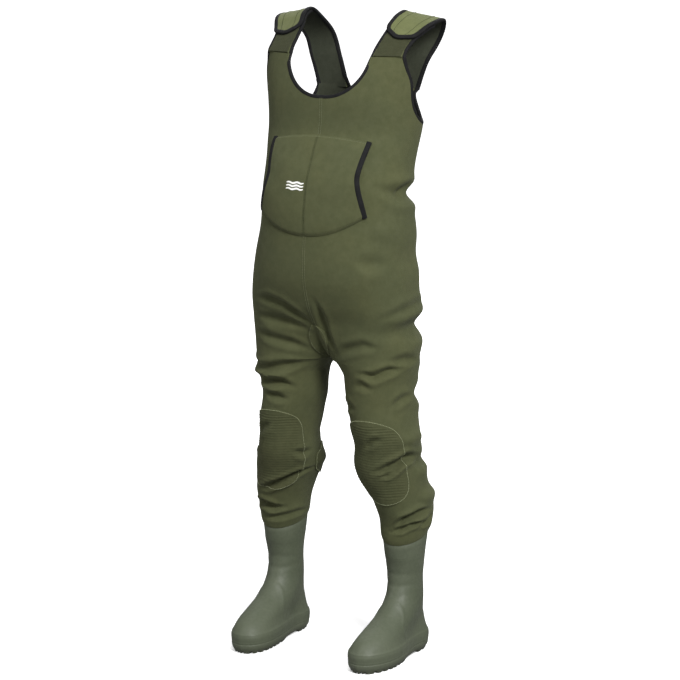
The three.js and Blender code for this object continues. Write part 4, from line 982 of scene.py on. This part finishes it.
# ---------------------------------------------------------------- patches, pouch and gussets
def sheet_on_skin(name, u, z, side, low, high, finishes):
    """A thin piece sewn onto the cloth: low and high are its heights over it, over a grid."""
    outer, inner = skin(u, z, high, side), skin(u, z, low, side)
    return shell_piece(name, outer.reshape(-1, 3), inner.reshape(-1, 3), grid_faces(*u.shape), side, finishes)


CORNER_LOSS = 0.7  # how much of a patch's width is rounded away at its top and foot
CORNER_DROP = 14  # how far its corners lie inside its top and foot lines


def patch_reach(arc, v):
    return arc * np.sqrt(1 - np.abs(v) ** 4 * CORNER_LOSS)


def patch_grid(centre, arc, foot, top, rows, columns):
    """Places (u, z) over a patch, and how near each is to its edge, which is at 1."""
    v = np.sin(np.linspace(-1, 1, rows) * np.pi / 2)[:, None]
    h = np.linspace(-1, 1, columns)[None, :]
    z = mix(foot, top, (v + 1) / 2) - CORNER_DROP * h * h * v
    return *spread(centre + h * patch_reach(arc, v), z), np.maximum(np.abs(v), np.abs(h))


def patch_outline(centre, arc, foot, top, inset=0.955):
    """The line of stitches just inside a patch's edge, as places (u, z)."""
    v = np.sin(np.linspace(-1, 1, 60) * np.pi / 2) * inset
    reach = patch_reach(arc, v) * inset
    h = np.linspace(-1, 1, 30) * inset
    side_z = mix(foot, top, (v + 1) / 2) - CORNER_DROP * inset ** 2 * v
    end_u = centre + h * patch_reach(arc, inset)
    top_row = (end_u, mix(foot, top, (inset + 1) / 2) - CORNER_DROP * h * h * inset)
    foot_row = (end_u, mix(foot, top, (1 - inset) / 2) + CORNER_DROP * h * h * inset)
    u = np.concatenate([centre - reach, top_row[0], (centre + reach)[::-1], foot_row[0][::-1]])
    z = np.concatenate([side_z, top_row[1], side_z[::-1], foot_row[1][::-1]])
    return np.append(u, u[0]), np.append(z, z[0])


RIB_PITCH = 6.4
KNEE_PATCH = (0.25, 0.175, KNEE_Z - 100, KNEE_Z + 104)  # middle and reach in u, foot and top in z
CALF_PATCH = (0.917, 0.1, KNEE_Z - 74, KNEE_Z + 6)


def build_patches(name, side):
    for label, place, rows, columns, rib, node in (
            ("knee_pad", KNEE_PATCH, 161, 61, 0.55, "knee_patch_"),
            ("calf_pad", CALF_PATCH, 60, 41, 0.0, "calf_patch_")):
        u, z, edge = patch_grid(*place, rows, columns)
        rolled = 1 - smooth((edge - 0.93) / 0.07)
        ribs = rib * np.sin(z / RIB_PITCH * 2 * np.pi + 1.2 * np.sin(u * 31)) * (1 - smooth((edge - 0.8) / 0.12))
        high = 1.1 + 1.9 * rolled + ribs
        piece = sheet_on_skin(label + "_" + name, u, z, side, 0.3 + 0 * u, high, [rubbed])
        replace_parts(piece, node + name)
        bend(piece, "knee", name, side)
        u, z = patch_outline(*place)
        stitch("stitches_" + label + "_" + name, [skin(u, z, 2.9, side)], thread,
               lambda p, n=name, s=side: bend(p, "knee", n, s))


POUCH_TOP_X, POUCH_WAIST_X, POUCH_FOOT_X = 119.0, 108.0, 130.0
POUCH_TOP_Z, POUCH_FOOT_Z = WAIST_Z + 132, WAIST_Z - 46
POUCH_WALL, PRESSED_WALL, POUCH_ROOM = 4.0, 1.2, 11.0
pouch_width = profile([(0, POUCH_TOP_X), (0.45, POUCH_WAIST_X), (0.62, POUCH_WAIST_X + 4), (1, POUCH_FOOT_X)])


def pouch_z(c, r):
    return mix(POUCH_FOOT_Z - 43 * (1 - np.abs(c) ** 2.2), POUCH_TOP_Z - 13 * c ** 2, r)


def facing(x):
    """Turns what is worked out for the wearer's left over to the side that x is on."""
    return np.stack([np.where(x < 0, -1.0, 1.0), np.ones_like(x), np.ones_like(x)], -1)


def pouch_point(c, r, lift):
    """A point of the pouch: c runs across from -1 to 1, r up from 0 to 1, lift over its inner face."""
    c, r, lift = spread(c, r, lift)
    x, z = np.abs(c) * pouch_width(1 - r), pouch_z(c, r)
    room = POUCH_ROOM * np.sin(np.pi * np.clip(r, 0, 1)) ** 0.7 * (0.8 + 0.2 * np.abs(c))
    u = np.where(x < 0.5, 0.0, u_at_x(x, z))
    n = outward(u, z)
    n[..., 0] *= smooth(x / 12)
    world, n = body_point(u, z) * facing(c), unit(n) * facing(c)
    folds = fold_depth(world)
    sag = 1.2 * np.sin(c * 3.3 + r * 5.2) * np.sin(np.pi * r) + 0.9 * np.sin(r * 13 + c * 2.2) * np.sin(np.pi * r)
    return world + n * (0.6 + np.maximum(room + sag, 0) + np.maximum(folds * 0.6, folds) + lift)[..., None]


def build_pouch():
    c, r = np.meshgrid(np.linspace(-1, 1, 121), np.linspace(0, 1, 91))
    edge = np.minimum(r, 1 - r)
    pressed = smooth(edge / 0.035)
    seam = 0.9 * np.exp(-((c * POUCH_TOP_X / 2.6) ** 2))
    outer = pouch_point(c, r, PRESSED_WALL + (POUCH_WALL - PRESSED_WALL) * pressed - seam)
    inner = pouch_point(c, r, 0.0)
    panel = shell_piece("pouch", outer.reshape(-1, 3), inner.reshape(-1, 3), grid_faces(*c.shape), 1,
                        [neoprene, inner_cloth])
    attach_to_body(panel, "torso")
    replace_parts(panel, "pouch_panel")
    for name, side in SIDES:
        r = np.linspace(-0.005, 1.005, 60)
        beyond = 1 + EDGE / pouch_width(1 - r)
        path = pouch_point(side * beyond, r, 2.0)
        toward = pouch_point(side * 0.9, r, 2.0)
        out = pouch_point(side * beyond, r, 5.0) - path
        trim = binding("pouch_binding_visual_" + name, path, out, toward, reach=8.5, lip=3.6, thick=3.3)
        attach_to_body(trim, "torso")
        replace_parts(trim, "pouch_binding_" + name)
    across = np.linspace(-0.985, 0.985, 90)
    rows = [pouch_point(across, 0.978, 2.6), pouch_point(across, 0.024, 2.6)]
    stitch("stitches_pouch", rows, seam_thread, on_torso)
    up = np.linspace(0.03, 0.97, 60)
    stitch("stitches_pouch_middle", [pouch_point(0.014 + 0 * up, up, 4.0), pouch_point(-0.014 + 0 * up, up, 4.0)],
           dark_thread, on_torso)
    # a plain mark of three waves
    points, faces = [], []
    for k in range(3):
        x = np.linspace(-50, -6, 45)
        middle = WAIST_Z + 18 + (k - 1) * 6.3 + 1.1 * np.sin((x + 50) / 44 * 4 * np.pi)
        thick = 2.0 * np.sin(np.pi * np.linspace(0.04, 0.96, 45)) ** 0.35
        rows = np.stack([middle - thick, middle, middle + thick])
        xs = np.broadcast_to(x, rows.shape)
        share = xs / 115  # nearly c, close enough to tell r from the height
        r = (rows - pouch_z(share, 0)) / (pouch_z(share, 1) - pouch_z(share, 0))
        c = xs / pouch_width(1 - r)
        outer, inner = pouch_point(c, r, POUCH_WALL + 0.55), pouch_point(c, r, POUCH_WALL + 0.05)
        p, f, _ = walled(outer.reshape(-1, 3), inner.reshape(-1, 3), grid_faces(*rows.shape))
        faces += (np.asarray(f) + sum(map(len, points))).tolist()
        points.append(p)
    mark = new_piece("pouch_mark", np.concatenate(points), faces, [printed])
    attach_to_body(mark, "torso")
    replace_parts(mark, "pouch_print")


SHEET_COLUMNS = 13


def centre_sheet(name, half_at, zs, front, low, high, finish, node):
    """A piece sewn over the centre seam: half_at gives its half width at each height."""
    points = {}
    for label, off in (("high", high), ("low", low)):
        columns = np.linspace(-1, 1, SHEET_COLUMNS)
        x = columns[None, :] * half_at(zs)[:, None]
        z = np.broadcast_to(zs[:, None], x.shape)
        u = np.where(np.abs(x) < 0.3, 0.0 if front else 1.0, u_at_x(np.abs(x), z, front))
        q, n = body_point(u, z), outward(u, z)
        n[..., 0] *= smooth(np.abs(x) / 10)
        world, n = q * facing(x), unit(n) * facing(x)
        world[..., 0] = np.where(np.abs(x) < 0.3, 0, world[..., 0])
        edge = 1 - smooth((np.abs(columns) - 0.8) / 0.2)[None, :] * 0.6
        points[label] = world + n * (fold_depth(world) + off * (edge if label == "high" else 1))[..., None]
    piece = shell_piece(name, points["high"].reshape(-1, 3), points["low"].reshape(-1, 3),
                        grid_faces(len(zs), SHEET_COLUMNS), 1 if front else -1, [finish])
    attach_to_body(piece, "torso")
    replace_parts(piece, node)
    return points["high"]


def build_centre():
    top, foot = CROTCH_Z + 88, CROTCH_Z + 12
    zs = np.linspace(foot, top, 40)

    def leaf(z):
        return 26 * np.sin(np.pi * mix(0.1, 0.93, (z - foot) / (top - foot))) ** 0.7
    for front, node in ((True, "crotch_gusset"), (False, "seat_gusset")):
        grid = centre_sheet(node + "_visual", leaf, zs, front, 0.3, 2.4, neoprene, node)
        stitch("stitches_" + node, [grid[:, 1], grid[:, -2]], seam_thread, on_torso)
    rows = []
    for front, top_z, node in ((True, STRAP_SEAM_Z - NECK_DROP, "front_seam_tape"),
                               (False, BACK_NECK_Z, "back_seam_tape")):
        zs = np.linspace(HIP_Z, top_z - 14, 90)
        centre_sheet(node + "_visual", lambda z: 11.0 + 0 * z, zs, front, -WALL - 1.6, -WALL - 0.4,
                     inner_cloth, node)
        for x in (2.6, -2.6):
            z = np.linspace(CROTCH_Z + 90, top_z - 5, 220)
            u = u_at_x(abs(x) + 0 * z, z, front)
            rows.append(skin(u, z, 0.35, 1 if x > 0 else -1))
    stitch("stitches_centre_seams", rows, seam_thread, on_torso)


# ---------------------------------------------------------------- stitches
def stitch_tree():
    """Geometry nodes: small stitches laid end to end along the edges of a line."""
    tree = bpy.data.node_groups.new("stitch_row", "GeometryNodeTree")
    face = tree.interface
    face.new_socket("Line", in_out="INPUT", socket_type="NodeSocketGeometry")
    for label, value in (("Spacing", 0.0036), ("Length", 0.0027), ("Radius", 0.0007)):
        face.new_socket(label, in_out="INPUT", socket_type="NodeSocketFloat").default_value = value
    face.new_socket("Thread", in_out="INPUT", socket_type="NodeSocketMaterial")
    face.new_socket("Stitches", in_out="OUTPUT", socket_type="NodeSocketGeometry")
    w = Wiring(tree)
    start, end = tree.nodes.new("NodeGroupInput"), tree.nodes.new("NodeGroupOutput")
    line = w.put("GeometryNodeMeshToCurve", {"Mesh": start.outputs["Line"]})
    places = w.put("GeometryNodeCurveToPoints", {"Curve": line.outputs[0], "Length": start.outputs["Spacing"]},
                   mode="LENGTH")
    turn = w.put("FunctionNodeAlignRotationToVector", {"Vector": places.outputs["Tangent"]}, axis="Z")
    bead = w.put("GeometryNodeMeshUVSphere", {"Segments": 6, "Rings": 4, "Radius": 1.0})
    size = w.put("ShaderNodeCombineXYZ", {0: start.outputs["Radius"], 1: start.outputs["Radius"],
                                          2: w.math("MULTIPLY", start.outputs["Length"], 0.5)})
    shaped = w.put("GeometryNodeTransform", {"Geometry": bead.outputs["Mesh"], "Scale": size.outputs[0]})
    laid = w.put("GeometryNodeInstanceOnPoints", {"Points": places.outputs["Points"], "Instance": shaped.outputs[0],
                                                  "Rotation": turn.outputs[0]})
    whole = w.put("GeometryNodeRealizeInstances", {"Geometry": laid.outputs[0]})
    rounded = w.put("GeometryNodeSetShadeSmooth", {"Geometry": whole.outputs[0]})
    done = w.put("GeometryNodeSetMaterial", {"Geometry": rounded.outputs[0], "Material": start.outputs["Thread"]})
    tree.links.new(done.outputs[0], end.inputs[0])
    return tree


STITCHES = stitch_tree()


def stitch(name, lines, colour, attach, spacing=0.0036, length=0.0028, radius=0.00075):
    """Rows of stitches along lines given in millimetres, as one plain mesh."""
    points = np.concatenate(lines) / 1000
    edges, first = [], 0
    for line in lines:
        edges += [(first + k, first + k + 1) for k in range(len(line) - 1)]
        first += len(line)
    mesh = bpy.data.meshes.new(name + "_line")
    mesh.from_pydata(points.tolist(), edges, [])
    carrier = bpy.data.objects.new(name + "_line", mesh)
    bpy.context.scene.collection.objects.link(carrier)
    modifier = carrier.modifiers.new("stitches", "NODES")
    modifier.node_group = STITCHES
    values = {"Spacing": spacing, "Length": length, "Radius": radius, "Thread": colour}
    for item in STITCHES.interface.items_tree:
        if item.in_out == "INPUT" and item.name in values:
            modifier[item.identifier] = values[item.name]
    evaluated = carrier.evaluated_get(bpy.context.evaluated_depsgraph_get())
    made = bpy.data.meshes.new_from_object(evaluated)
    carrier.modifiers.clear()
    bpy.data.objects.remove(carrier)
    piece = bpy.data.objects.new(name, made)
    bpy.context.scene.collection.objects.link(piece)
    if not made.materials:
        made.materials.append(colour)
    attach(piece)


def build_strap_stitches(name, side):
    seam = np.linspace(-0.93, 0.93, 24)
    start = share_at_height(seam * 32, 0, STRAP_SEAM_Z + 4, -0.09, FRONT_END)
    row = strap_point(start, seam * 32, 0.1, side)
    stitch("stitches_strap_seam_" + name, [row], seam_thread, on_torso)
    ts = np.linspace(FLAP_FROM + 0.03, 0.93, 90)
    lines = [strap_point(ts, s * (flap_half(ts) * 0.52), back_off(ts) + 0.3, side) for s in (-1, 1)]
    stitch("stitches_shoulder_strap_" + name, lines, dark_thread,
           lambda p, n=name, s=side: strap_bend(p))
    seam = np.linspace(-0.9, 0.9, 24)
    stop = share_at_height(seam * 33, 0, BACK_TOP_Z + 4, BACK_END, 1.09)
    row = strap_point(stop, seam * 33, 0.2, side)
    stitch("stitches_back_seam_" + name, [row], seam_thread, on_torso)


# ---------------------------------------------------------------- boots
HEEL_Y = TOE_Y + SOLE_LENGTH - 6
boot_front = profile([
    (SOLE_TOP_Z, TOE_Y), (SOLE_TOP_Z + 18, TOE_Y - 1), (SOLE_TOP_Z + 33, TOE_Y + 5), (SOLE_TOP_Z + 46, TOE_Y + 22),
    (SOLE_TOP_Z + 58, TOE_Y + 50), (SOLE_TOP_Z + 70, TOE_Y + 80), (SOLE_TOP_Z + 84, TOE_Y + 112),
    (SOLE_TOP_Z + 103, TOE_Y + 140), (SOLE_TOP_Z + 128, SHAFT_Y - ANKLE_DEPTH - 9),
    (SOLE_TOP_Z + 168, SHAFT_Y - ANKLE_DEPTH), (BOOT_TOP_Z, SHAFT_Y - CUFF_WIDTH - LEG_DEEPER + WALL + 2 * GAP)])
boot_back = profile([
    (SOLE_TOP_Z, HEEL_Y), (SOLE_TOP_Z + 18, HEEL_Y + 1), (SOLE_TOP_Z + 70, HEEL_Y - 9),
    (SOLE_TOP_Z + 128, SHAFT_Y + ANKLE_DEPTH + 5), (SOLE_TOP_Z + 168, SHAFT_Y + ANKLE_DEPTH),
    (BOOT_TOP_Z, SHAFT_Y + CUFF_WIDTH + LEG_DEEPER - WALL - 2 * GAP)])
boot_width = profile([
    (SOLE_TOP_Z, BALL_WIDTH), (SOLE_TOP_Z + 18, BALL_WIDTH + 1), (SOLE_TOP_Z + 46, BALL_WIDTH - 5),
    (SOLE_TOP_Z + 84, ANKLE_WIDTH + 2), (SOLE_TOP_Z + 168, ANKLE_WIDTH), (BOOT_TOP_Z - 24, ANKLE_WIDTH + 6),
    (BOOT_TOP_Z, CUFF_WIDTH - WALL - 2 * GAP)])
foot_shape = profile([
    (0, 0), (0.02, 0.36), (0.06, 0.62), (0.13, 0.84), (0.22, 0.97), (0.31, 1), (0.44, 0.94), (0.57, 0.81),
    (0.7, 0.73), (0.82, 0.77), (0.91, 0.7), (0.96, 0.54), (0.99, 0.28), (1, 0)])


def boot_point(u, z, thick=0.0):
    turned = np.pi * (2 * u - 1)
    across, s = np.cos(turned), (1 + np.sin(turned)) / 2
    shaft = smooth((z - SOLE_TOP_Z - 18) / 75)
    half = (boot_width(z) + thick) * mix(foot_shape(s), np.abs(across), shaft)
    inset = -6 * smooth((0.4 - s) / 0.4) * (1 - shaft)
    x = STANCE_FOOT + np.sign(across) * half + inset
    y = mix(boot_front(z) - thick, boot_back(z) + thick, s)
    tilt = BOOT_TOP_TILT * smooth((z - BOOT_TOP_Z + 90) / 90)
    return np.stack([x, y, z + tilt * (y - SHAFT_Y)], -1)


def even_turns(count, z=60.0):
    """Places round the boot at even steps along its outline."""
    u = np.linspace(0, 1, 2001)
    p = boot_point(u, z + 0 * u)
    run = length_along(p[:, :2])
    return np.interp(np.linspace(0, run[-1], count + 1)[:-1], run, u)


def boot_off(u, z, off):
    p = boot_point(u, z)
    held = np.maximum(z, SOLE_TOP_Z + 4)
    n = unit(np.cross(boot_point(u + 0.004, held) - boot_point(u - 0.004, held),
                      boot_point(u, held + 1.5) - boot_point(u, held - 1.5)))
    return p + n * np.asarray(off)[..., None]


def ridge(distance, half):
    return np.exp(-((distance / half) ** 2))


def boot_relief(u, z):
    """Moulded lines of the boot, in millimetres out of its plain face."""
    s = (1 + np.sin(np.pi * (2 * u - 1))) / 2
    foxing = FOXING * smooth((FOXING_Z + 8 - z) / 16.0) + 0.7 * ridge(z - FOXING_Z + 1, 2.0)
    foxing += 0.3 * ridge(z - SOLE_TOP_Z - 4, 1.6)
    # the instep line falls from the front of the ankle to the arch on both sides
    line_z = SOLE_TOP_Z + 112 - 190 * np.clip(s, 0, 0.5) ** 1.25
    instep = 1.5 * ridge(z - line_z, 3.2) * smooth((0.56 - s) / 0.12)
    # the heel counter stands proud behind a raised line that leans back as it goes up
    past_counter = s - 0.80 - 0.0009 * (z - SOLE_TOP_Z)
    heel_line = ridge(past_counter, 0.014) * smooth((SOLE_TOP_Z + 78 - z) / 14) * smooth((z - FOXING_Z) / 6)
    counter = 0.9 * smooth(past_counter / 0.02) * smooth((SOLE_TOP_Z + 74 - z) / 10)
    rings = sum(0.5 * ridge(z - up, 1.6) for up in (BOOT_TOP_Z - 40, BOOT_TOP_Z - 47))
    creases = -1.1 * (ridge(z - 168 - 10 * s, 6.5) + 0.8 * ridge(z - 196 + 8 * s, 7.0)) * smooth((0.5 - s) / 0.5)
    uneven = 0.8 * np.sin(z / 33 + 5 * s) * smooth((z - 110) / 60) + 0.35 * np.sin(z / 14 + 9 * u)
    return (foxing + instep + heel_line + counter + creases + rings * 0.6
            + uneven * smooth((z - FOXING_Z) / 20))


def build_boot(name, side):
    us = even_turns(132)
    heights = np.concatenate([np.linspace(SOLE_TOP_Z, FOXING_Z + 6, 28), np.linspace(FOXING_Z + 8, 268, 104)])
    U, Z = np.meshgrid(us, heights)
    lap = np.linspace(BOOT_TOP_Z - 2, BOOT_TOP_Z + 20, 8)
    LU, LZ = np.meshgrid(us, lap)

    def in_leg(off):
        return body_point(LU, LZ) + outward(LU, LZ) * np.asarray(off - WALL - 2 * GAP)[..., None]
    blend_to_lap = smooth((Z - 236) / 40)
    flare = 2.4 * smooth((Z - 140) / 110)  # the shaft meets the hem flush
    under = 2.4 * smooth((BOOT_TOP_Z + 1.5 - LZ) / 3.0)
    outer = np.concatenate([boot_off(U, Z, boot_relief(U, Z) * (1 - blend_to_lap) + 0.1 + flare),
                            in_leg(under - 0.4)])
    inner = np.concatenate([boot_off(U, Z, -BOOT_WALL + 0 * U), in_leg(-BOOT_WALL)])
    rows = outer.shape[0]
    mirror = np.array([side, 1, 1])
    upper = shell_piece("boot_" + name + "_upper", (outer * mirror).reshape(-1, 3), (inner * mirror).reshape(-1, 3),
                        grid_faces(rows, len(us), True), side, [moulded, felt])
    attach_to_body(upper, "boot_" + name)
    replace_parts(upper, "boot_upper_" + name)
    build_sole(name, side)


CLEAT_DEPTH = 5.0


def build_sole(name, side):
    """The sole: a rounded edge above, an arch in front of the heel, and cleats cut across and along."""
    grooves = [TOE_Y + 30 + 18 * k for k in range(6)] + [HEEL_FRONT_Y + 18 + 18 * k for k in range(3)]

    def tread_z(x, y):
        arch = 9.5 * smooth((y - (HEEL_FRONT_Y - 80)) / 34) * smooth((HEEL_FRONT_Y - 0.5 - y) / 3.5)
        cut = np.max([smooth((3.6 - np.abs(y - g)) / 1.0) for g in grooves], 0)
        cut = np.maximum(cut, smooth((2.4 - np.abs(x)) / 1.0) * (y < HEEL_FRONT_Y - 60))
        toe = (y < TOE_Y + 28)
        for lane in (-27, -9, 9, 27):
            cut = np.maximum(cut, smooth((2.8 - np.abs(x - lane)) / 1.0) * toe)
        return np.maximum(CLEAT_DEPTH * cut, arch)
    count = 160
    u = even_turns(count, SOLE_TOP_Z)
    ring = boot_point(u, SOLE_TOP_Z + 0 * u)
    flat = ring[:, :2]
    tangent = np.roll(flat, -1, 0) - np.roll(flat, 1, 0)
    out = unit(np.stack([tangent[:, 1], -tangent[:, 0]], -1))

    def outline(grow):
        return flat + out * grow
    rows = []
    for z, grow in ((SOLE_TOP_Z + 0.3, -2.5), (SOLE_TOP_Z + 0.6, 1.0), (SOLE_TOP_Z - 0.2, 2.3),
                    (SOLE_TOP_Z - 2.0, 2.6), (SOLE_TOP_Z - 5.0, 2.5), (SOLE_TOP_Z - 8.5, 1.9),
                    (10.5, 0.9), (8.0, -0.5), (5.8, -2.2)):
        rows.append(np.concatenate([outline(grow), np.full((count, 1), z)], 1))
    # the foot of the edge and the tread, closing in on the middle line of the sole
    spine = np.stack([np.interp(flat[:, 1], [TOE_Y, HEEL_Y], [STANCE_FOOT - 4, STANCE_FOOT]), flat[:, 1]], -1)
    spine[:, 1] = np.clip(spine[:, 1], TOE_Y + 26, HEEL_Y - 24)
    for share in np.concatenate([[0, 0.012, 0.03], np.linspace(0.06, 1, 26)]):
        place = mix(outline(-4.0), spine, share)
        z = tread_z(place[:, 0] - STANCE_FOOT, place[:, 1]) + (0.5 if share == 0 else 0.0)
        rows.append(np.concatenate([place, z[:, None]], 1))
    top = [np.concatenate([mix(outline(-2.5), spine, share), np.full((count, 1), SOLE_TOP_Z + 0.3)], 1)
           for share in (1.0, 0.5)]
    points = np.concatenate(top + rows)
    faces = grid_faces(len(top) + len(rows), count, True)[:, ::-1]
    mirrored = points * [side, 1, 1]
    sole = new_piece("sole_" + name, mirrored, tidy_faces(turned(faces, side)), [tread])
    b = bmesh.new()
    b.from_mesh(sole.data)
    bmesh.ops.remove_doubles(b, verts=b.verts, dist=0.00012)
    bmesh.ops.holes_fill(b, edges=[e for e in b.edges if e.is_boundary], sides=0)
    bmesh.ops.recalc_face_normals(b, faces=b.faces)
    b.to_mesh(sole.data)
    b.free()
    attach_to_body(sole, "boot_" + name)
    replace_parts(sole, "outsole_" + name)
    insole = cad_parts["insole_" + name]
    insole = insole if isinstance(insole, bpy.types.Object) else bpy.data.objects[insole]
    for slot in insole.material_slots:
        slot.link = "DATA"
        slot.material = felt


# ---------------------------------------------------------------- making the waders
build_bindings()
for name, side in SIDES:
    trousers_half(name, side)
    leg_piece("knee_leg", name, side, SHIN_JOIN_Z, THIGH_JOIN_Z, 76, "knee",
              ("thigh_leg", "knee_sleeve", "shin_leg"))
    leg_piece("cuff_leg", name, side, BOOT_TOP_Z, SHIN_JOIN_Z, 48, "cuff", ("cuff_sleeve",))
    build_strap(name, side)
    build_strap_stitches(name, side)
    build_patches(name, side)
    build_boot(name, side)
build_pouch()
build_centre()


# ---------------------------------------------------------------- floor, light and camera
FLOOR_RADIUS = 45  # metres
CAMERA_AT, LOOK_AT = (3.000, -5.182, 1.850), (0.0043, 0.0165, 0.728)


def floor_finish():
    """White to look at, but a calm grey to the light that bounces off it."""
    material = bpy.data.materials.new("floor_white")
    material.use_nodes = True
    tree = material.node_tree
    w = Wiring(tree)
    seen = w.put("ShaderNodeLightPath").outputs["Is Camera Ray"]
    shader = tree.nodes["Principled BSDF"]
    shader.inputs["Roughness"].default_value = 0.9
    w.feed(shader.inputs["Base Color"], w.blend(seen, (0.24, 0.24, 0.24, 1), (0.95, 0.95, 0.95, 1)))
    shader.inputs["Emission Color"].default_value = (1, 1, 1, 1)
    # the lamps light only the middle, so the far floor glows a little more
    away = w.put("ShaderNodeVectorMath", {0: w.put("ShaderNodeTexCoord").outputs["Object"]}, operation="LENGTH")
    glow = w.span(away.outputs["Value"], 1.2, 5.0, 0.36, 1.0)
    w.feed(shader.inputs["Emission Strength"], w.math("MULTIPLY", seen, glow))
    return material


def studio_world():
    """Even white light, brighter to look at than to be lit by."""
    world = bpy.data.worlds.new("studio")
    world.use_nodes = True
    w = Wiring(world.node_tree)
    sky = world.node_tree.nodes["Background"]
    sky.inputs["Color"].default_value = (1, 1, 1, 1)
    seen = w.put("ShaderNodeLightPath").outputs["Is Camera Ray"]
    w.feed(sky.inputs["Strength"], w.span(seen, 0, 1, 0.34, 1.0))
    bpy.context.scene.world = world


def facing_from(place, target):
    return (Vector(target) - Vector(place)).to_track_quat("-Z", "Y").to_euler()


def build_studio():
    """A flat round floor, four lamps and the camera."""
    turns = np.linspace(0, 2 * np.pi, 96, endpoint=False)
    rim = [(FLOOR_RADIUS * math.cos(a), FLOOR_RADIUS * math.sin(a), -0.0006) for a in turns]
    mesh = bpy.data.meshes.new("floor")
    mesh.from_pydata(rim, [], [list(range(len(rim)))])
    mesh.materials.append(floor_finish())
    floor = bpy.data.objects.new("floor", mesh)
    bpy.context.scene.collection.objects.link(floor)
    studio_world()

    def lamp(name, place, size, power):
        light = bpy.data.lights.new(name, "AREA")
        light.shape, light.size, light.energy = "DISK", size, power
        made = bpy.data.objects.new(name, light)
        made.location = place
        made.rotation_euler = facing_from(place, (0, 0, 0.8))
        bpy.context.scene.collection.objects.link(made)
    lamp("key", (3.9, -2.8, 4.0), 1.8, 450)
    lamp("fill", (-3.6, -3.4, 2.6), 3.0, 58)
    lamp("above", (0.4, -1.0, 4.8), 3.0, 70)
    lamp("behind", (-1.5, 4.0, 3.6), 3.0, 110)

    camera = bpy.data.cameras.new("camera")
    camera.lens, camera.sensor_width, camera.sensor_fit = 140.08, 36.0, "HORIZONTAL"
    camera.clip_end = 60
    made = bpy.data.objects.new("camera", camera)
    made.location = CAMERA_AT
    made.rotation_euler = facing_from(CAMERA_AT, LOOK_AT)
    bpy.context.scene.collection.objects.link(made)
    bpy.context.scene.camera = made
    bpy.context.scene.view_settings.view_transform = "Standard"


build_studio()
